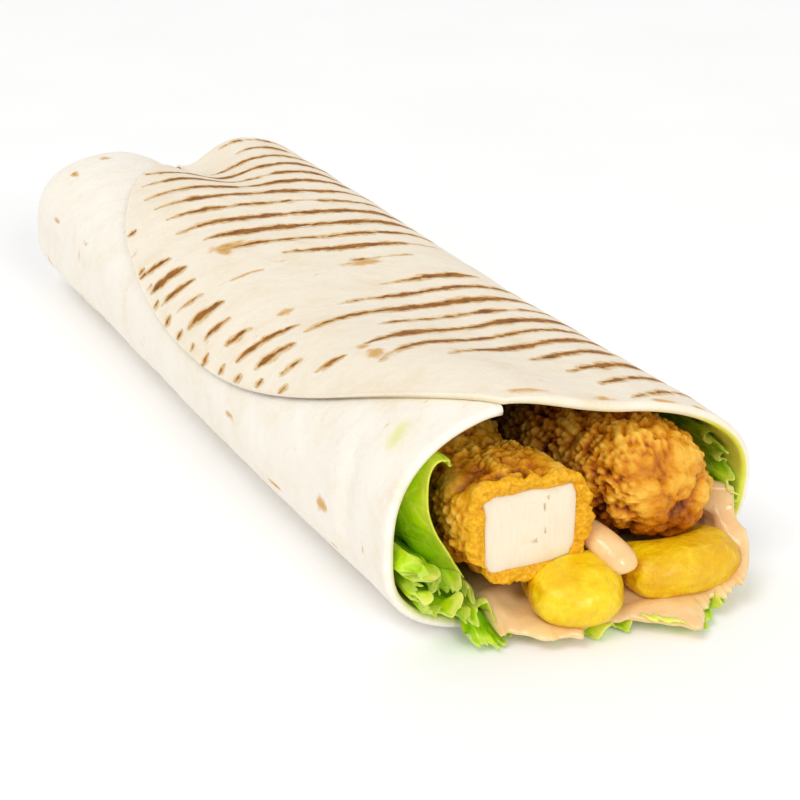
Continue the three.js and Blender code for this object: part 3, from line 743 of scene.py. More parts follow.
meat = {  # the pale face in the cut
    "centre": (-12.0, 21.0),
    "half": (9.4, 7.6),
    "round": 8.5,
    "lean": -0.01,
    "inCrust": 0.25,  # the crust's opening is this much smaller
    "front": 0.45,  # how far it swells out of the crust
    "sides": 320,
    "rings": 84,
    "back": (  # depth in the pocket, and share of the outline
        (0.15, 0.993), (0.6, 1.0), (2.0, 1.0), (4.6, 0.99), (4.7, 0.5),
    ),
    "uneven": (0.025, 0.015),
    "fibreSize": 0.55,
    "fibreLength": 4.5,
    "fibreDepth": 0.04,
    "puff": 0.16,
    "puffSize": 2.6,
    "cracks": (  # short splits between the fibres: x, z and half their length
        (-13.4, 25.7, 1.0), (-12.3, 26.3, 0.7), (-11.5, 25.1, 1.3), (-10.2, 26.0, 1.0),
        (-9.1, 24.6, 1.2), (-8.4, 26.4, 0.6), (-10.6, 18.2, 0.8), (-8.8, 19.6, 0.6),
    ),
    "crackWidth": 0.17,
    "crackDepth": 0.35,
    "crackLean": 0.12,
    "tints": ((0.3, (242, 227, 200)), (0.55, (245, 231, 206)), (0.75, (247, 234, 212))),
    "edgeTint": (240, 200, 112),
    # painted shade in the splits
    "crackShadeTint": (204, 170, 108),
}


def stationAt(strip, y):  # the station values at each y, joined by straight lines
    table = np.array(strip["stations"])
    return [np.interp(y, table[:, 0], table[:, column]) for column in range(1, 5)]


def stripSurface(strip, angle, y):
    # a squared ellipse round the strip: angle 0 is below, and it turns towards -x
    centreX, centreZ, halfWidth, halfHeight = stationAt(strip, y)
    power = 2 / strip["round"]
    x = -signedPower(np.sin(angle), power) * halfWidth
    z = centreZ - signedPower(np.cos(angle), power) * halfHeight
    return np.stack([centreX + x, y + 0 * angle, z + strip["lean"] * x], -1)


def crustRelief(points, seed):
    # four sizes of round lumps on a slow swell, worked out in space so that no seam shows;
    # the small ones are strong where the crust is crumbly and weak where it is smooth
    bend = np.stack([softNoise(points / crust["warpSize"] + 40 * axis, seed + axis) for axis in range(3)], -1)
    warped = points + crust["warp"] * bend
    relief = crust["swell"] * softNoise(points / crust["swellSize"], seed + 9)
    crevice = 0 * relief
    crumbly = smooth(-0.5, 0.4, softNoise(points / crust["crumblySize"], seed + 12))
    for octave, (size, height, fullness, whereSmooth, whereCrumbly, weight) in enumerate(crust["lumps"]):
        lump = lumps(warped / size, seed + 20 * octave, fullness) - 0.5 * fullness
        lump = lump * blend(whereSmooth, whereCrumbly, crumbly)
        relief = relief + height * lump
        crevice = crevice + weight * lump
    return relief, crevice


def meatOutline(angle, grow):  # a rounded rectangle, a little uneven
    slow, quick = meat["uneven"]
    uneven = 1 + slow * np.sin(3 * angle + 1) + quick * np.sin(7 * angle)
    power = 2 / meat["round"]
    x = meat["centre"][0] - (meat["half"][0] * uneven + grow) * signedPower(np.sin(angle), power)
    z = meat["centre"][1] - (meat["half"][1] * uneven + grow) * signedPower(np.cos(angle), power)
    z = z + meat["lean"] * (x - meat["centre"][0])
    front = strips["chicken_cut"]["stations"][0][0]
    return np.stack([x, front + 0 * x, z], -1)


def cutFace(strip, rim, angle):
    # rings from the middle of the pocket's floor forwards round the meat, then out across the
    # crust to its rim, where lumps and a round bulge make the cut edge ragged
    front = strip["stations"][0][0]
    outer = rim * [1, 0, 1] + [0, front, 0]
    inner = meatOutline(angle, -meat["inCrust"])
    (bigSize, bigHeight), (smallSize, smallHeight) = crust["cutCrumbs"]
    rings = []
    for share in np.linspace(1, 0, crust["cutRings"]):
        ring = blend(outer, inner, 1 - share)
        bulge = crust["cutBulge"] * np.sqrt(np.maximum(1 - (2 * share - 1) ** 2, 0))
        ragged = 0.5 - bigHeight * lumps(ring / bigSize, strip["seed"] + 50)
        ragged = ragged - smallHeight * lumps(ring / smallSize, 3) + crust["cutSlope"] * (1 - share)
        inwards = ragged * min(1, 3 * (1 - share)) - bulge
        rings.append(ring + np.stack([0 * inwards, inwards, 0 * inwards], -1))
    depth = strip["pocket"]
    pocketEnd = inner + [0, depth, 0]
    rings.extend([inner + [0, crust["meatRim"], 0], pocketEnd])
    rings.extend(blend(pocketEnd, outer.mean(0) + [0, depth, 0], share) for share in (0.5, 0.9))
    return np.stack(rings[::-1])


def makeStrip(name, material):
    # the strip's surface with its relief square to it, small steps where it shows, a round or
    # a cut front end and a round far end
    strip = strips[name]
    front, back = strip["stations"][0][0], strip["stations"][-1][0]
    fineLength = crust["fineLength"]
    fineRows = int(fineLength / crust["fineStep"])
    fineY = front + fineLength * np.arange(fineRows + 1) / fineRows
    share = (np.arange(1, crust["coarseRows"] + 1) / crust["coarseRows"]) ** 1.1
    y = np.concatenate([fineY, front + fineLength + (back - front - fineLength) * share])
    shrink = np.ones_like(y)
    reach = strip["capReach"]
    if reach:
        lead = np.linspace(0.02, 0.985, crust["capRows"]) * pi / 2  # rows of the round end, evenly round it
        y = np.concatenate([front + reach * (1 - np.cos(lead)), y[y > front + reach]])
        shrink = quarterRound((y - front) / reach)
    row = np.arange(1, crust["endRows"] + 1)
    y = np.concatenate([y, back + crust["endReach"] * row / crust["endRows"]])
    shrink = np.concatenate([shrink, np.sqrt(1 - (row / (crust["endRows"] + 0.5)) ** 2)])

    angle, y = np.meshgrid(np.arange(crust["sides"]) / crust["sides"] * turn, y)
    centreX, centreZ, _, _ = stationAt(strip, y)
    middle = np.stack([centreX, y, centreZ], -1)
    base = middle + (stripSurface(strip, angle, y) - middle) * shrink[:, None, None] ** [1, 0, 1]
    roundStep = np.roll(base, -1, axis=1) - np.roll(base, 1, axis=1)
    outwards = unit(np.cross(roundStep, np.gradient(base, axis=0)))
    relief, shade = crustRelief(base, strip["seed"])
    for waistY, depth, width in strip["waists"]:
        relief = relief - depth * bell(y + 3 * np.sin(angle), waistY, width)
    skin = base + outwards * relief[..., None]
    onCut = 0 * shade
    if strip["pocket"]:
        face = cutFace(strip, skin[0], angle[0])
        skin = np.concatenate([face, skin[1:]])
        shade = np.concatenate([np.full(face.shape[:2], crust["cutShade"]), shade[1:]])
        onCut = np.concatenate([np.ones(face.shape[:2]), onCut[1:]])
    low, high = np.percentile(shade, [2, 98])
    # painted shade: darker into the roll and on the flank beside the wall
    behind = skin[..., 1] - front
    beside = crust["shadeByWall"]
    wallShade = smooth(strip["browned"], strip["browned"] - beside["fade"], skin[..., 0])
    wallShade = beside["strength"] * wallShade * smooth(*beside["behindFront"], behind)
    deep = np.maximum(smooth(*crust["shadeBehindFront"], behind), wallShade)
    fields = {"relief": np.clip((shade - low) / (high - low), 0, 1), "onCut": onCut, "deep": deep}
    ringBody(name + "Crust", skin, material, [name], fields)


def makeMeat(material):
    # rings from the middle of the cut face out to its edge, over it and back into the pocket
    angle = np.arange(meat["sides"]) / meat["sides"] * turn
    outline = meatOutline(angle, 0)
    centre = outline.mean(0)
    share = np.linspace(0.01, 0.97, meat["rings"])[:, None]
    face = blend(centre, outline, share[..., None])
    x, z = face[..., 0], face[..., 2]
    across = x + 0.25 * softNoise(face / [2.0, 1, 4.0], 5)
    grain = noiseOver(7, across / meat["fibreSize"], 0.0, z / meat["fibreLength"])
    slits = 0 * x
    for crackX, crackZ, half in meat["cracks"]:
        up = z - crackZ
        aside = bell(x + meat["crackLean"] * up, crackX, meat["crackWidth"])
        slits = np.maximum(slits, aside * smooth(half, 0.3 * half, np.abs(up)))
    rough = meat["fibreDepth"] * grain + meat["puff"] * softNoise(face / meat["puffSize"], 9)
    rough = rough - meat["crackDepth"] * slits
    face[..., 1] -= meat["front"] * (1 - share ** 6) + rough
    behind = np.stack([blend(centre, outline, part) + [0, depth, 0] for depth, part in meat["back"]])
    fields = {
        "edge": np.concatenate([share + 0 * slits, np.ones(behind.shape[:2])]),
        # painted shade in the splits
        "crackShade": np.concatenate([slits, np.zeros(behind.shape[:2])]),
    }
    ringBody("chickenMeat", np.concatenate([face, behind]), material, (), fields)


def crustFinish(strip):
    # partly its own tone and partly painted shade in the crevices and painted highlight on the crags, darker
    # below, painted shade into the roll and beside the wall; the cut edge is bright crumb
    dark, brown, gold, pale = strip["tints"]
    material, tree, shader = newMaterial(strip["finish"], (1.0, 0.5, 0.2), Subsurface_Weight=0.08,
                                         Subsurface_Scale=0.0015, Specular_IOR_Level=0.3)
    place = placeOn(tree)
    fine = noiseOn(tree, place, 0.7, 4.0, 0.6)
    patches = noiseOn(tree, place, 8.0, 3.0, 0.6)
    level = calc(tree, "ADD", fieldOf(tree, "relief"), aroundZero(tree, fine, 0.35))
    level = calc(tree, "ADD", level, aroundZero(tree, patches, 0.7))
    height = addNode(tree, "SeparateXYZ", {0: place}).outputs[2]
    lowerDarkening = rangeOf(tree, height, 23 * mm, 12 * mm, 0.0, strip["darkerBelow"])  # darker towards its underside
    level = calc(tree, "SUBTRACT", level, lowerDarkening)
    # partly the crust's own tone, partly painted shade in the crevices and painted highlight on the crags
    color = ramp(tree, level, (0.0, dark), (0.25, brown), (0.55, gold), (1.0, pale))
    # painted shade into the roll and beside the wall
    color = mixTints(tree, times(tree, fieldOf(tree, "deep"), 0.75), color, crust["shadeTint"])
    spots = rangeOf(tree, noiseOn(tree, place, 1.3, 2.0, 0.5), 0.68, 0.76)
    color = mixTints(tree, times(tree, spots, 0.5), color, dark)
    color = mixTints(tree, fieldOf(tree, "onCut"), color, ramp(tree, fine, *crust["crumbTints"]))
    tree.links.new(color, shader.inputs["Base Color"])
    normal = bumpOn(tree, noiseOn(tree, place, 0.45, 3.0, 0.6), 0.10)
    normal = bumpOn(tree, noiseOn(tree, place, 1.3, 3.0, 0.55), 0.35, normal)
    tree.links.new(normal, shader.inputs["Normal"])
    tree.links.new(rangeOf(tree, patches, 0.3, 0.7, 0.32, 0.55), shader.inputs["Roughness"])
    return material


def meatFinish():  # fine pale strands, golden where it meets the crust, painted shade in the splits
    material, tree, shader = newMaterial("whiteMeat", (1.0, 0.6, 0.4), Roughness=0.42,
                                         Subsurface_Weight=0.25, Subsurface_Scale=0.003)
    strands = noiseOn(tree, placeOn(tree), 1.0, 3.0, 0.6, (2.2, 0.6, 0.28))
    color = ramp(tree, strands, *meat["tints"])
    edge = rangeOf(tree, fieldOf(tree, "edge"), 0.93, 1.0)
    color = mixTints(tree, times(tree, edge, 0.5), color, meat["edgeTint"])
    # painted shade in the splits
    color = mixTints(tree, times(tree, fieldOf(tree, "crackShade"), 0.7), color, meat["crackShadeTint"])
    tree.links.new(color, shader.inputs["Base Color"])
    tree.links.new(bumpOn(tree, strands, 0.02), shader.inputs["Normal"])
    return material


for stripName, chicken in strips.items():
    makeStrip(stripName, crustFinish(chicken))
makeMeat(meatFinish())


potatoes = {
    "potato_left": {
        "centre": (-3.2, -111.5, 8.2), "half": (9.3, 10.4, 5.8), "round": 2.35,
        "yaw": -15, "pitch": 6, "seed": 3,
        "finish": "yellowPotato", "tints": ((248, 218, 22), (236, 190, 4), (204, 128, 4)),
    },
    "potato_right": {
        "centre": (19.2, -111.5, 8.3), "half": (12.6, 8.2, 4.9), "round": 2.5,
        "yaw": -5, "pitch": 9, "seed": 8,
        "finish": "amberPotato", "tints": ((244, 206, 12), (228, 174, 6), (186, 110, 6)),
    },
}

potatoSkin = {
    "rings": 110,
    "sides": 180,
    "uneven": 0.03,
    "dimples": ((6.0, 0.055), (2.2, 0.018)),  # size, and height as a share of the radius
    "gap": 0.3,  # to the strips above
    "crustBeside": 1.2,  # how far the crust's lumps reach beyond a strip's half width
    "crustBelow": 1.0,  # and half height
    "riseInFront": 9,  # in front of a strip there is more room
    "pressSoftness": 1.3,  # the top bends over into the pressed part
    "browned": (0.3, 0.8),  # in the middle and at the left and right ends
    # painted sheen along the pale streaks
    "sheenTint": (254, 232, 70),
}


def stripUnderside(x, y):  # the lowest skin of the strips over each place, or far above it
    noStrip, inFront, behindFront = 99.0, 3.5, 2.5
    under = np.full_like(x, noStrip)
    for strip in strips.values():
        centreX, centreZ, halfWidth, halfHeight = stationAt(strip, y)
        front = strip["stations"][0][0]
        cap = quarterRound(np.maximum((y - front) / max(strip["capReach"], 0.01), 0.001))
        across = np.clip(np.abs(x - centreX) / ((halfWidth + potatoSkin["crustBeside"]) * cap), 0, 1)
        drop = (1 - across ** strip["round"]) ** (1 / strip["round"]) * cap
        skin = centreZ - drop * (halfHeight + potatoSkin["crustBelow"]) + strip["lean"] * (x - centreX)
        skin = skin - potatoSkin["gap"]
        rise = potatoSkin["riseInFront"] * smooth(front + behindFront, front - inFront, y) ** 2
        isUnder = (across < 1) & (y > front - inFront)
        under = np.where(isUnder, np.minimum(under, skin + rise), under)
    return under


def makePotato(name, material):
    # a squared ellipsoid built of rings along y, dimpled, turned, then pressed down under the strips
    potato = potatoes[name]
    slope = np.linspace(-0.497, 0.497, potatoSkin["rings"]) * pi
    angle, slope = np.meshgrid(np.arange(potatoSkin["sides"]) / potatoSkin["sides"] * turn, slope)
    power = 2 / potato["round"]
    seed = potato["seed"]
    uneven = 1 + potatoSkin["uneven"] * (np.sin(2 * angle + seed) + np.sin(3 * slope + seed * 2))
    girth = np.cos(slope) ** power * uneven
    half = potato["half"]
    local = np.stack([
        -half[0] * girth * signedPower(np.sin(angle), power),
        half[1] * signedPower(np.sin(slope), power),
        -half[2] * girth * signedPower(np.cos(angle), power),
    ], -1)
    for number, (size, height) in enumerate(potatoSkin["dimples"]):
        local = local * (1 + height * softNoise(local / size, seed + number)[..., None])
    pitch, yaw = math.radians(potato["pitch"]), math.radians(potato["yaw"])
    x, y, z = local[..., 0], local[..., 1], local[..., 2]
    y, z = y * math.cos(pitch) - z * math.sin(pitch), y * math.sin(pitch) + z * math.cos(pitch)
    x, y = x * math.cos(yaw) - y * math.sin(yaw), x * math.sin(yaw) + y * math.cos(yaw)
    x, y, z = x + potato["centre"][0], y + potato["centre"][1], z + potato["centre"][2]
    ceiling = stripUnderside(x, y)
    soft = potatoSkin["pressSoftness"]
    pressed = -soft * np.logaddexp(-z / soft, -ceiling / soft)  # the lower of the two, smoothly
    z = np.where(ceiling < 60, pressed, z)
    towardsEnd = np.abs(local[..., 0] / half[0]) ** 3
    fields = {"browned": np.clip(blend(*potatoSkin["browned"], towardsEnd), 0, 1)}
    ringBody(name + "Piece", np.stack([x, y, z], -1), material, [name], fields)


def potatoFinish(potato):  # cloudy yellow with darker streaks and painted sheen in pale streaks, scorched towards the ends, softly glossy
    yellow, deep, brown = potato["tints"]
    material, tree, shader = newMaterial(potato["finish"], (1.0, 0.7, 0.2), Subsurface_Weight=0.2,
                                         Subsurface_Scale=0.003, Specular_IOR_Level=0.35,
                                         Coat_Weight=0.15, Coat_Roughness=0.2)
    place = placeOn(tree)
    cloud = noiseOn(tree, place, 7.0, 3.0, 0.55)
    streaks = noiseOn(tree, place, 2.4, 3.0, 0.6)
    color = ramp(tree, cloud, (0.35, yellow), (0.65, deep))
    color = mixTints(tree, rangeOf(tree, streaks, 0.5, 0.68, 0.0, 0.75), color, deep)
    # painted sheen: pale yellow where the streak noise is low
    color = mixTints(tree, rangeOf(tree, streaks, 0.44, 0.3, 0.0, 0.35), color, potatoSkin["sheenTint"])
    scorch = calc(tree, "ADD", fieldOf(tree, "browned"), aroundZero(tree, streaks, 0.8))
    color = mixTints(tree, rangeOf(tree, scorch, 0.45, 0.95, 0.0, 0.8), color, brown)
    specks = rangeOf(tree, noiseOn(tree, place, 0.9, 2.0, 0.5), 0.70, 0.76)
    color = mixTints(tree, times(tree, specks, 0.2), color, brown)
    tree.links.new(color, shader.inputs["Base Color"])
    normal = bumpOn(tree, noiseOn(tree, place, 0.8, 3.0, 0.6), 0.08)
    normal = bumpOn(tree, noiseOn(tree, place, 3.0, 3.0, 0.5), 0.9, normal)
    tree.links.new(normal, shader.inputs["Normal"])
    tree.links.new(rangeOf(tree, cloud, 0.3, 0.7, 0.24, 0.42), shader.inputs["Roughness"])
    return material


for potatoName, potatoPiece in potatoes.items():
    makePotato(potatoName, potatoFinish(potatoPiece))


frontReach = {  # how far the bottom layers hang out in front of the rim, from left to right
    "left": 7.5, "addMiddle": 3.5, "lessRight": 4.0,
    "tongue": 6.5, "tongueX": 14, "tongueWidth": 8,
    "keptOnWall": 0.2,
    "rightLeaf": -5.0, "addBelow": 6.5,
}


def reachInFront(angle):  # from the left value to the middle and the right one, with a round tongue
    x, z = rollSection(angle, rimY + 0 * angle)
    reach = frontReach["left"] + frontReach["addMiddle"] * smooth(-20, 0, x)
    reach = reach - frontReach["lessRight"] * smooth(25, 35, x)
    tongue = frontReach["tongue"] * bell(x, frontReach["tongueX"], frontReach["tongueWidth"])
    return (reach + tongue) * blend(1, frontReach["keptOnWall"], smooth(5, 15, z))


def rightReach(angle):  # the right leaf's upper part stays inside, its lower end reaches the rim
    return frontReach["rightLeaf"] + frontReach["addBelow"] * smooth(2.58, 2.48, angle / pi)


leaves = {  # frilled leaves along the wall; from and to are half turns round the roll
    "lettuce_bottom": {
        "from": 1.81, "to": 2.33, "back": 84, "reach": reachInFront, "lie": 0.5, "frontLie": 0.6,
        "wave": 0.9, "frill": 1.8, "ruffle": 2.3, "teeth": 1.9, "shorter": 0.3,
        "seed": 5, "columns": 320, "rows": 100,
    },
    "lettuce_left": {
        "from": 1.49, "to": 1.87, "back": 60, "reach": 3.4, "lie": 0.5, "frontLie": 3.2,
        "wave": 2.6, "frill": 2.4, "ruffle": 3.2, "teeth": 1.9, "shorter": 0,
        "seed": 17, "columns": 260, "rows": 100,
    },
    "lettuceInner": {  # the same leaf's second frill, further in
        "from": 1.53, "to": 1.83, "back": -50, "reach": 0.6, "lie": 5.0, "frontLie": 6.0,
        "wave": 2.0, "frill": 2.2, "ruffle": 2.2, "teeth": 1.9, "shorter": 0,
        "seed": 41, "columns": 220, "rows": 90,
    },
    "lettuce_right": {
        "from": 2.46, "to": 2.66, "back": 60, "reach": rightReach, "lie": 0.5, "frontLie": 2.6,
        "wave": 1.4, "frill": 1.4, "ruffle": 1.6, "teeth": 1.6, "shorter": 0,
        "seed": 23, "columns": 150, "rows": 90,
    },
}

leafShape = {
    "thickness": 0.9,
    "edgeThickness": 0.44,
    "waves": 31,  # how often the ruffles, teeth and nicks come, in a radian round the roll
    "quickWaves": 83,
    "teeth": 29,
    "nicks": 24,
    "lobes": 6,
    "bites": 70,
    "puckers": 12,
    "looseReach": 14,  # how far behind its front edge a leaf ruffles a little
    "edgeReach": 5,  # and strongly
    "overhang": 0.35,
    "lowest": 0.12,
    "rowsInFront": 0.4,  # the share of the rows that lies in front of the rim
    "atRim": 0.6,  # just in front of it a leaf begins to step down
    "stepEnd": 4,  # and here it has
    "swingReach": 45,  # how far behind the rim it swings more
    "paleReach": 9,
}


def leafFrontAt(angle, leaf):  # the front edge without its teeth: the reach and slow frills
    frill = 0.5 * np.sin(angle * leafShape["waves"] + leaf["seed"]) + 0.5 * np.sin(angle * 13)
    reach = leaf["reach"](angle) if callable(leaf["reach"]) else leaf["reach"]
    return rimY - reach + leaf["frill"] * (frill + leaf["shorter"])


def backAlong(front, back, u):  # rows lie close together out to the rim, then spread
    share = leafShape["rowsInFront"]
    atRim = np.maximum(rimY - leafShape["atRim"], front + 2)
    deep = np.maximum((u - share) / (1 - share), 0) ** 1.5
    return np.where(u < share, blend(front, atRim, u / share), blend(atRim, back, deep))


def leafDepth(angle, s, leaf, steady=None, run=0):
    # depth of a leaf's underside below the roll's outer surface; it steps down over the rim
    # and swings in waves, unless a steady share of them is given; run makes the step longer
    inside = innerDepth(angle, s) + leaf["lie"]
    lead = smooth(rimY - leafShape["atRim"] + run, rimY - leafShape["stepEnd"] - run, s)
    loose = smooth(rimY + leafShape["swingReach"], rimY, s)
    quick = np.sin(angle * 21 + leaf["seed"] + s * 0.05)
    slow = np.sin(angle * 9 - s * 0.13)
    swing = 0.5 + 0.3 * quick + 0.2 * slow if steady is None else steady
    return blend(inside, leaf["frontLie"], lead) + leaf["wave"] * swing * (0.25 + 0.75 * loose)


def makeLeaf(name, material):
    # the leaf lies along the wall; towards its front edge it ruffles in waves and teeth
    leaf, shape = leaves[name], leafShape
    across = np.linspace(0, 1, leaf["columns"])[None]
    u = np.linspace(0, 1, leaf["rows"])[:, None]
    angle = blend(leaf["from"] * pi, leaf["to"] * pi, across) + 0 * u
    seed = leaf["seed"]
    jag = np.abs(np.sin(angle * shape["teeth"] + 2.5 * np.sin(angle * 11 + seed)))
    nick = noiseOver(seed, angle * shape["nicks"])
    lobe = noiseOver(seed + 5, angle * shape["lobes"])
    bite = noiseOver(seed + 7, angle * shape["bites"])
    tooth = 0.7 * jag - 0.5 + 0.8 * nick + 1.1 * lobe + 0.4 * bite
    front = leafFrontAt(angle, leaf) + leaf["teeth"] * tooth
    s = backAlong(front, leaf["back"], u)
    fromEdge = s - front
    loose = smooth(shape["looseReach"], 0, fromEdge)
    edge = smooth(shape["edgeReach"], 0, fromEdge)
    phase = angle * shape["waves"] + fromEdge * 0.3
    phase = phase + 2.8 * np.sin(angle * 8.3 + seed) + 1.5 * np.sin(angle * 21)
    quick = np.sin(angle * shape["quickWaves"] + 2.5 * np.sin(angle * 17) + seed)
    ruffle = 0.7 * np.sin(phase) + 0.4 * quick * (0.6 + 0.4 * lobe)
    pucker = noiseOver(seed + 3, angle * shape["puckers"], s / 5)
    lift = leaf["ruffle"] * (ruffle * (0.25 * loose + 0.75 * edge) + 0.35 * pucker * loose)
    s = s - leaf["ruffle"] * shape["overhang"] * np.cos(phase) * edge
    half = blend(shape["edgeThickness"] / 2, shape["thickness"] / 2, smooth(0, 6, fromEdge))
    fromSide = np.minimum(across, 1 - across) * (leaf["to"] - leaf["from"]) * pi * 30  # about in mm
    half = half * smooth(-0.15, 1.2, fromSide + 0 * s)
    depth = leafDepth(angle, s, leaf) + shape["thickness"] / 2 + np.maximum(lift, -0.6)
    outer, middle, inner = (below(angle, s, depth + part * half) for part in (-1, 0, 1))
    for grid in (outer, middle, inner):
        grid[..., 2] = np.maximum(grid[..., 2], shape["lowest"])
    outer = np.where(borderOf(s)[..., None], middle, outer)
    fields = {"edge": smooth(shape["paleReach"], 0, fromEdge), "crest": lift / leaf["ruffle"]}
    uv = np.stack([angle * 32, fromEdge], -1)
    replaced = [name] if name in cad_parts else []
    closedSheet(name + "Leaf", outer, inner, material, replaced, uv, fields)


foldLeaf = {
    "edge": (  # its front edge in the mouth, from the curled top down to the pointed foot
        (-24.6, -105.0, 33.4), (-27.2, -106.0, 35.2), (-29.0, -106.0, 33.9), (-29.8, -106.0, 30.2),
        (-29.6, -106.2, 24.9), (-27.1, -107.0, 18.6), (-22.5, -107.0, 11.7),
    ),
    "from": 1.27, "to": 1.66,  # where it lies on the wall further in, in half turns
    "back": 40.0,
    "standOff": 2.6,
    "footBend": -4.6,
    "hollow": -0.8,
    "goesOver": (10.0, 42.0),  # behind the edge it goes over to the wall between these
    "frill": 0.5,
    "pucker": 0.35,
    "puckerSize": 4.5,
    "columns": 130, "rows": 90,
}


def makeFoldLeaf(material):
    # a smooth sheet from its front edge straight back, its foot bending to the wall, then along the wall
    leaf = foldLeaf
    edge = curveThrough(leaf["edge"], leaf["columns"])[None]
    t = np.linspace(0, 1, leaf["columns"])[None]
    u = np.linspace(0, 1, leaf["rows"])[:, None]
    behind = (leaf["back"] - rimY) * u ** 2.2 + 0 * t
    y = edge[..., 1] + behind
    bend = leaf["footBend"] * t ** 2 * smooth(-2, 10, behind)
    bend = bend + leaf["hollow"] * np.sin(t * pi) * smooth(0, 8, behind)
    near = edge + np.stack([bend, behind, 0 * behind], -1)
    angle = blend(leaf["from"] * pi, leaf["to"] * pi, t) + 0 * y
    far = below(angle, y, innerDepth(angle, y) + leaf["standOff"])
    middle = blend(near, far, smooth(*leaf["goesOver"], behind)[..., None])
    inwards = unit(np.cross(np.gradient(middle, axis=1), np.gradient(middle, axis=0)))
    frill = leaf["frill"] * np.sin(t * 60) * smooth(0.16, 0.02, t) * smooth(5, 0, behind)
    pucker = leaf["pucker"] * softNoise(middle / leaf["puckerSize"], 61) + frill
    middle = middle + inwards * pucker[..., None]
    half = blend(0.2, leafShape["thickness"] / 2, smooth(0, 5, behind))
    half = half * smooth(-0.02, 0.06, np.minimum(t, 1 - t))
    half = np.where(borderOf(y), 0, half)[..., None]
    fields = {"edge": smooth(leafShape["paleReach"], 0, behind), "crest": pucker}
    uv = np.stack([angle * 32, behind], -1)
    closedSheet("lettuce_foldLeaf", middle - inwards * half, middle + inwards * half, material,
                ["lettuce_fold"], uv, fields)


leafTints = {  # deep, fresh and pale
    "frillyGreen": ((120, 186, 8), (196, 236, 20), (238, 250, 116)),
    "smoothGreen": ((164, 220, 6), (200, 240, 16), (228, 248, 84)),
}


def lettuceFinish(name):  # blotchy green, pale on the rim and the veins, with painted highlight on the ruffles' crests and painted shade in their troughs
    deep, fresh, pale = leafTints[name]
    material, tree, shader = newMaterial(name, (0.8, 1.0, 0.15), Subsurface_Weight=0.6,
                                         Subsurface_Scale=0.002, Specular_IOR_Level=0.35)
    place = placeOn(tree)
    flat = addNode(tree, "UVMap", uv_map="UVMap").outputs[0]
    blotch = noiseOn(tree, place, 6.0, 3.0, 0.55)
    color = ramp(tree, blotch, (0.35, deep), (0.65, fresh))
    edge = fieldOf(tree, "edge")
    crest = fieldOf(tree, "crest")
    color = mixTints(tree, times(tree, edge, 0.6), color, fresh)
    color = mixTints(tree, rangeOf(tree, edge, 0.86, 1.0, 0.0, 0.7), color, pale)
    # painted highlight on the ruffles' crests and painted shade in their troughs
    color = mixTints(tree, rangeOf(tree, crest, 0.1, 0.8, 0.0, 0.75), color, pale)
    color = mixTints(tree, rangeOf(tree, crest, -0.1, -0.7, 0.0, 0.6), color, deep)
    cells = addNode(tree, "Mapping", {"Vector": flat, "Scale": (1 / (4.5 * mm), 1 / (7.0 * mm), 1)})
    veinInputs = {"Vector": cells.outputs[0], "Scale": 1.0}
    veins = addNode(tree, "TexVoronoi", veinInputs, feature="DISTANCE_TO_EDGE").outputs["Distance"]
    color = mixTints(tree, times(tree, rangeOf(tree, veins, 0.09, 0.0), 0.45), color, pale)
    tree.links.new(color, shader.inputs["Base Color"])
    normal = bumpOn(tree, veins, 0.5)
    normal = bumpOn(tree, noiseOn(tree, place, 1.6, 3.0, 0.55), 0.25, normal)
    tree.links.new(normal, shader.inputs["Normal"])
    tree.links.new(rangeOf(tree, blotch, 0.3, 0.7, 0.3, 0.46), shader.inputs["Roughness"])
    return material


frillyGreen = lettuceFinish("frillyGreen")
for leafName in leaves:
    makeLeaf(leafName, frillyGreen)
makeFoldLeaf(lettuceFinish("smoothGreen"))


sauce = {
    "from": 1.865, "to": 2.42, "toInside": 2.535,  # in half turns; higher on the wall inside
    "back": 78,
    "thin": 1.1,
    "thick": 2.0,
    "gap": 2.0,  # more where it fills the gap between the strip and the wall
    "ripple": 0.5,
    "lip": 4.6,
    "sideLip": (0.05, 0.12),  # on the bottom and on the wall, as a share of the width
    "torn": ((9, 1.8, 12), (26, 1.3, 13)),  # how often in a radian, depth and seed
    "pastLeaf": {"left": 3.2, "right": 1.8, "wall": 2.6},  # how far it runs out over the leaf's edge
    "onWall": (2.3, 2.48),  # where it climbs the right wall, over the frilled leaf
    "over": 0.35,
    "overOnWall": 2.8,
    "sunk": 0.35,
    "lowest": 0.1,
    "columns": 220, "rows": 110,
    "drip": ((2.2, -99, 14.0), (2.2, -105, 15.2), (3.2, -110, 14.9), (4.7, -113.2, 12.6), (5.1, -114.3, 9.8)),
    "dripRadius": 3.3,
    "dripFlat": 0.8,
    "dripRings": 90, "dripSides": 60,
    "tints": ((0.3, (242, 194, 134)), (0.7, (250, 212, 156))),
    "speckTint": (206, 120, 60),
}


def sauceFrontAt(angle):  # past the leaf's edge, by more in three places, with a torn edge
    x, _ = rollSection(angle, rimY + 0 * angle)
    past = sauce["pastLeaf"]
    extra = past["left"] * smooth(-20, -12, x) * smooth(-1, -7, x)
    extra = extra + past["right"] * smooth(3, 9, x) + past["wall"] * bell(x, 30, 5)
    torn = sum(depth * noiseOver(seed, angle * often) for often, depth, seed in sauce["torn"])
    return rimY - reachInFront(angle) - extra + torn * (1 - smooth(2.2, 2.32, angle / pi))


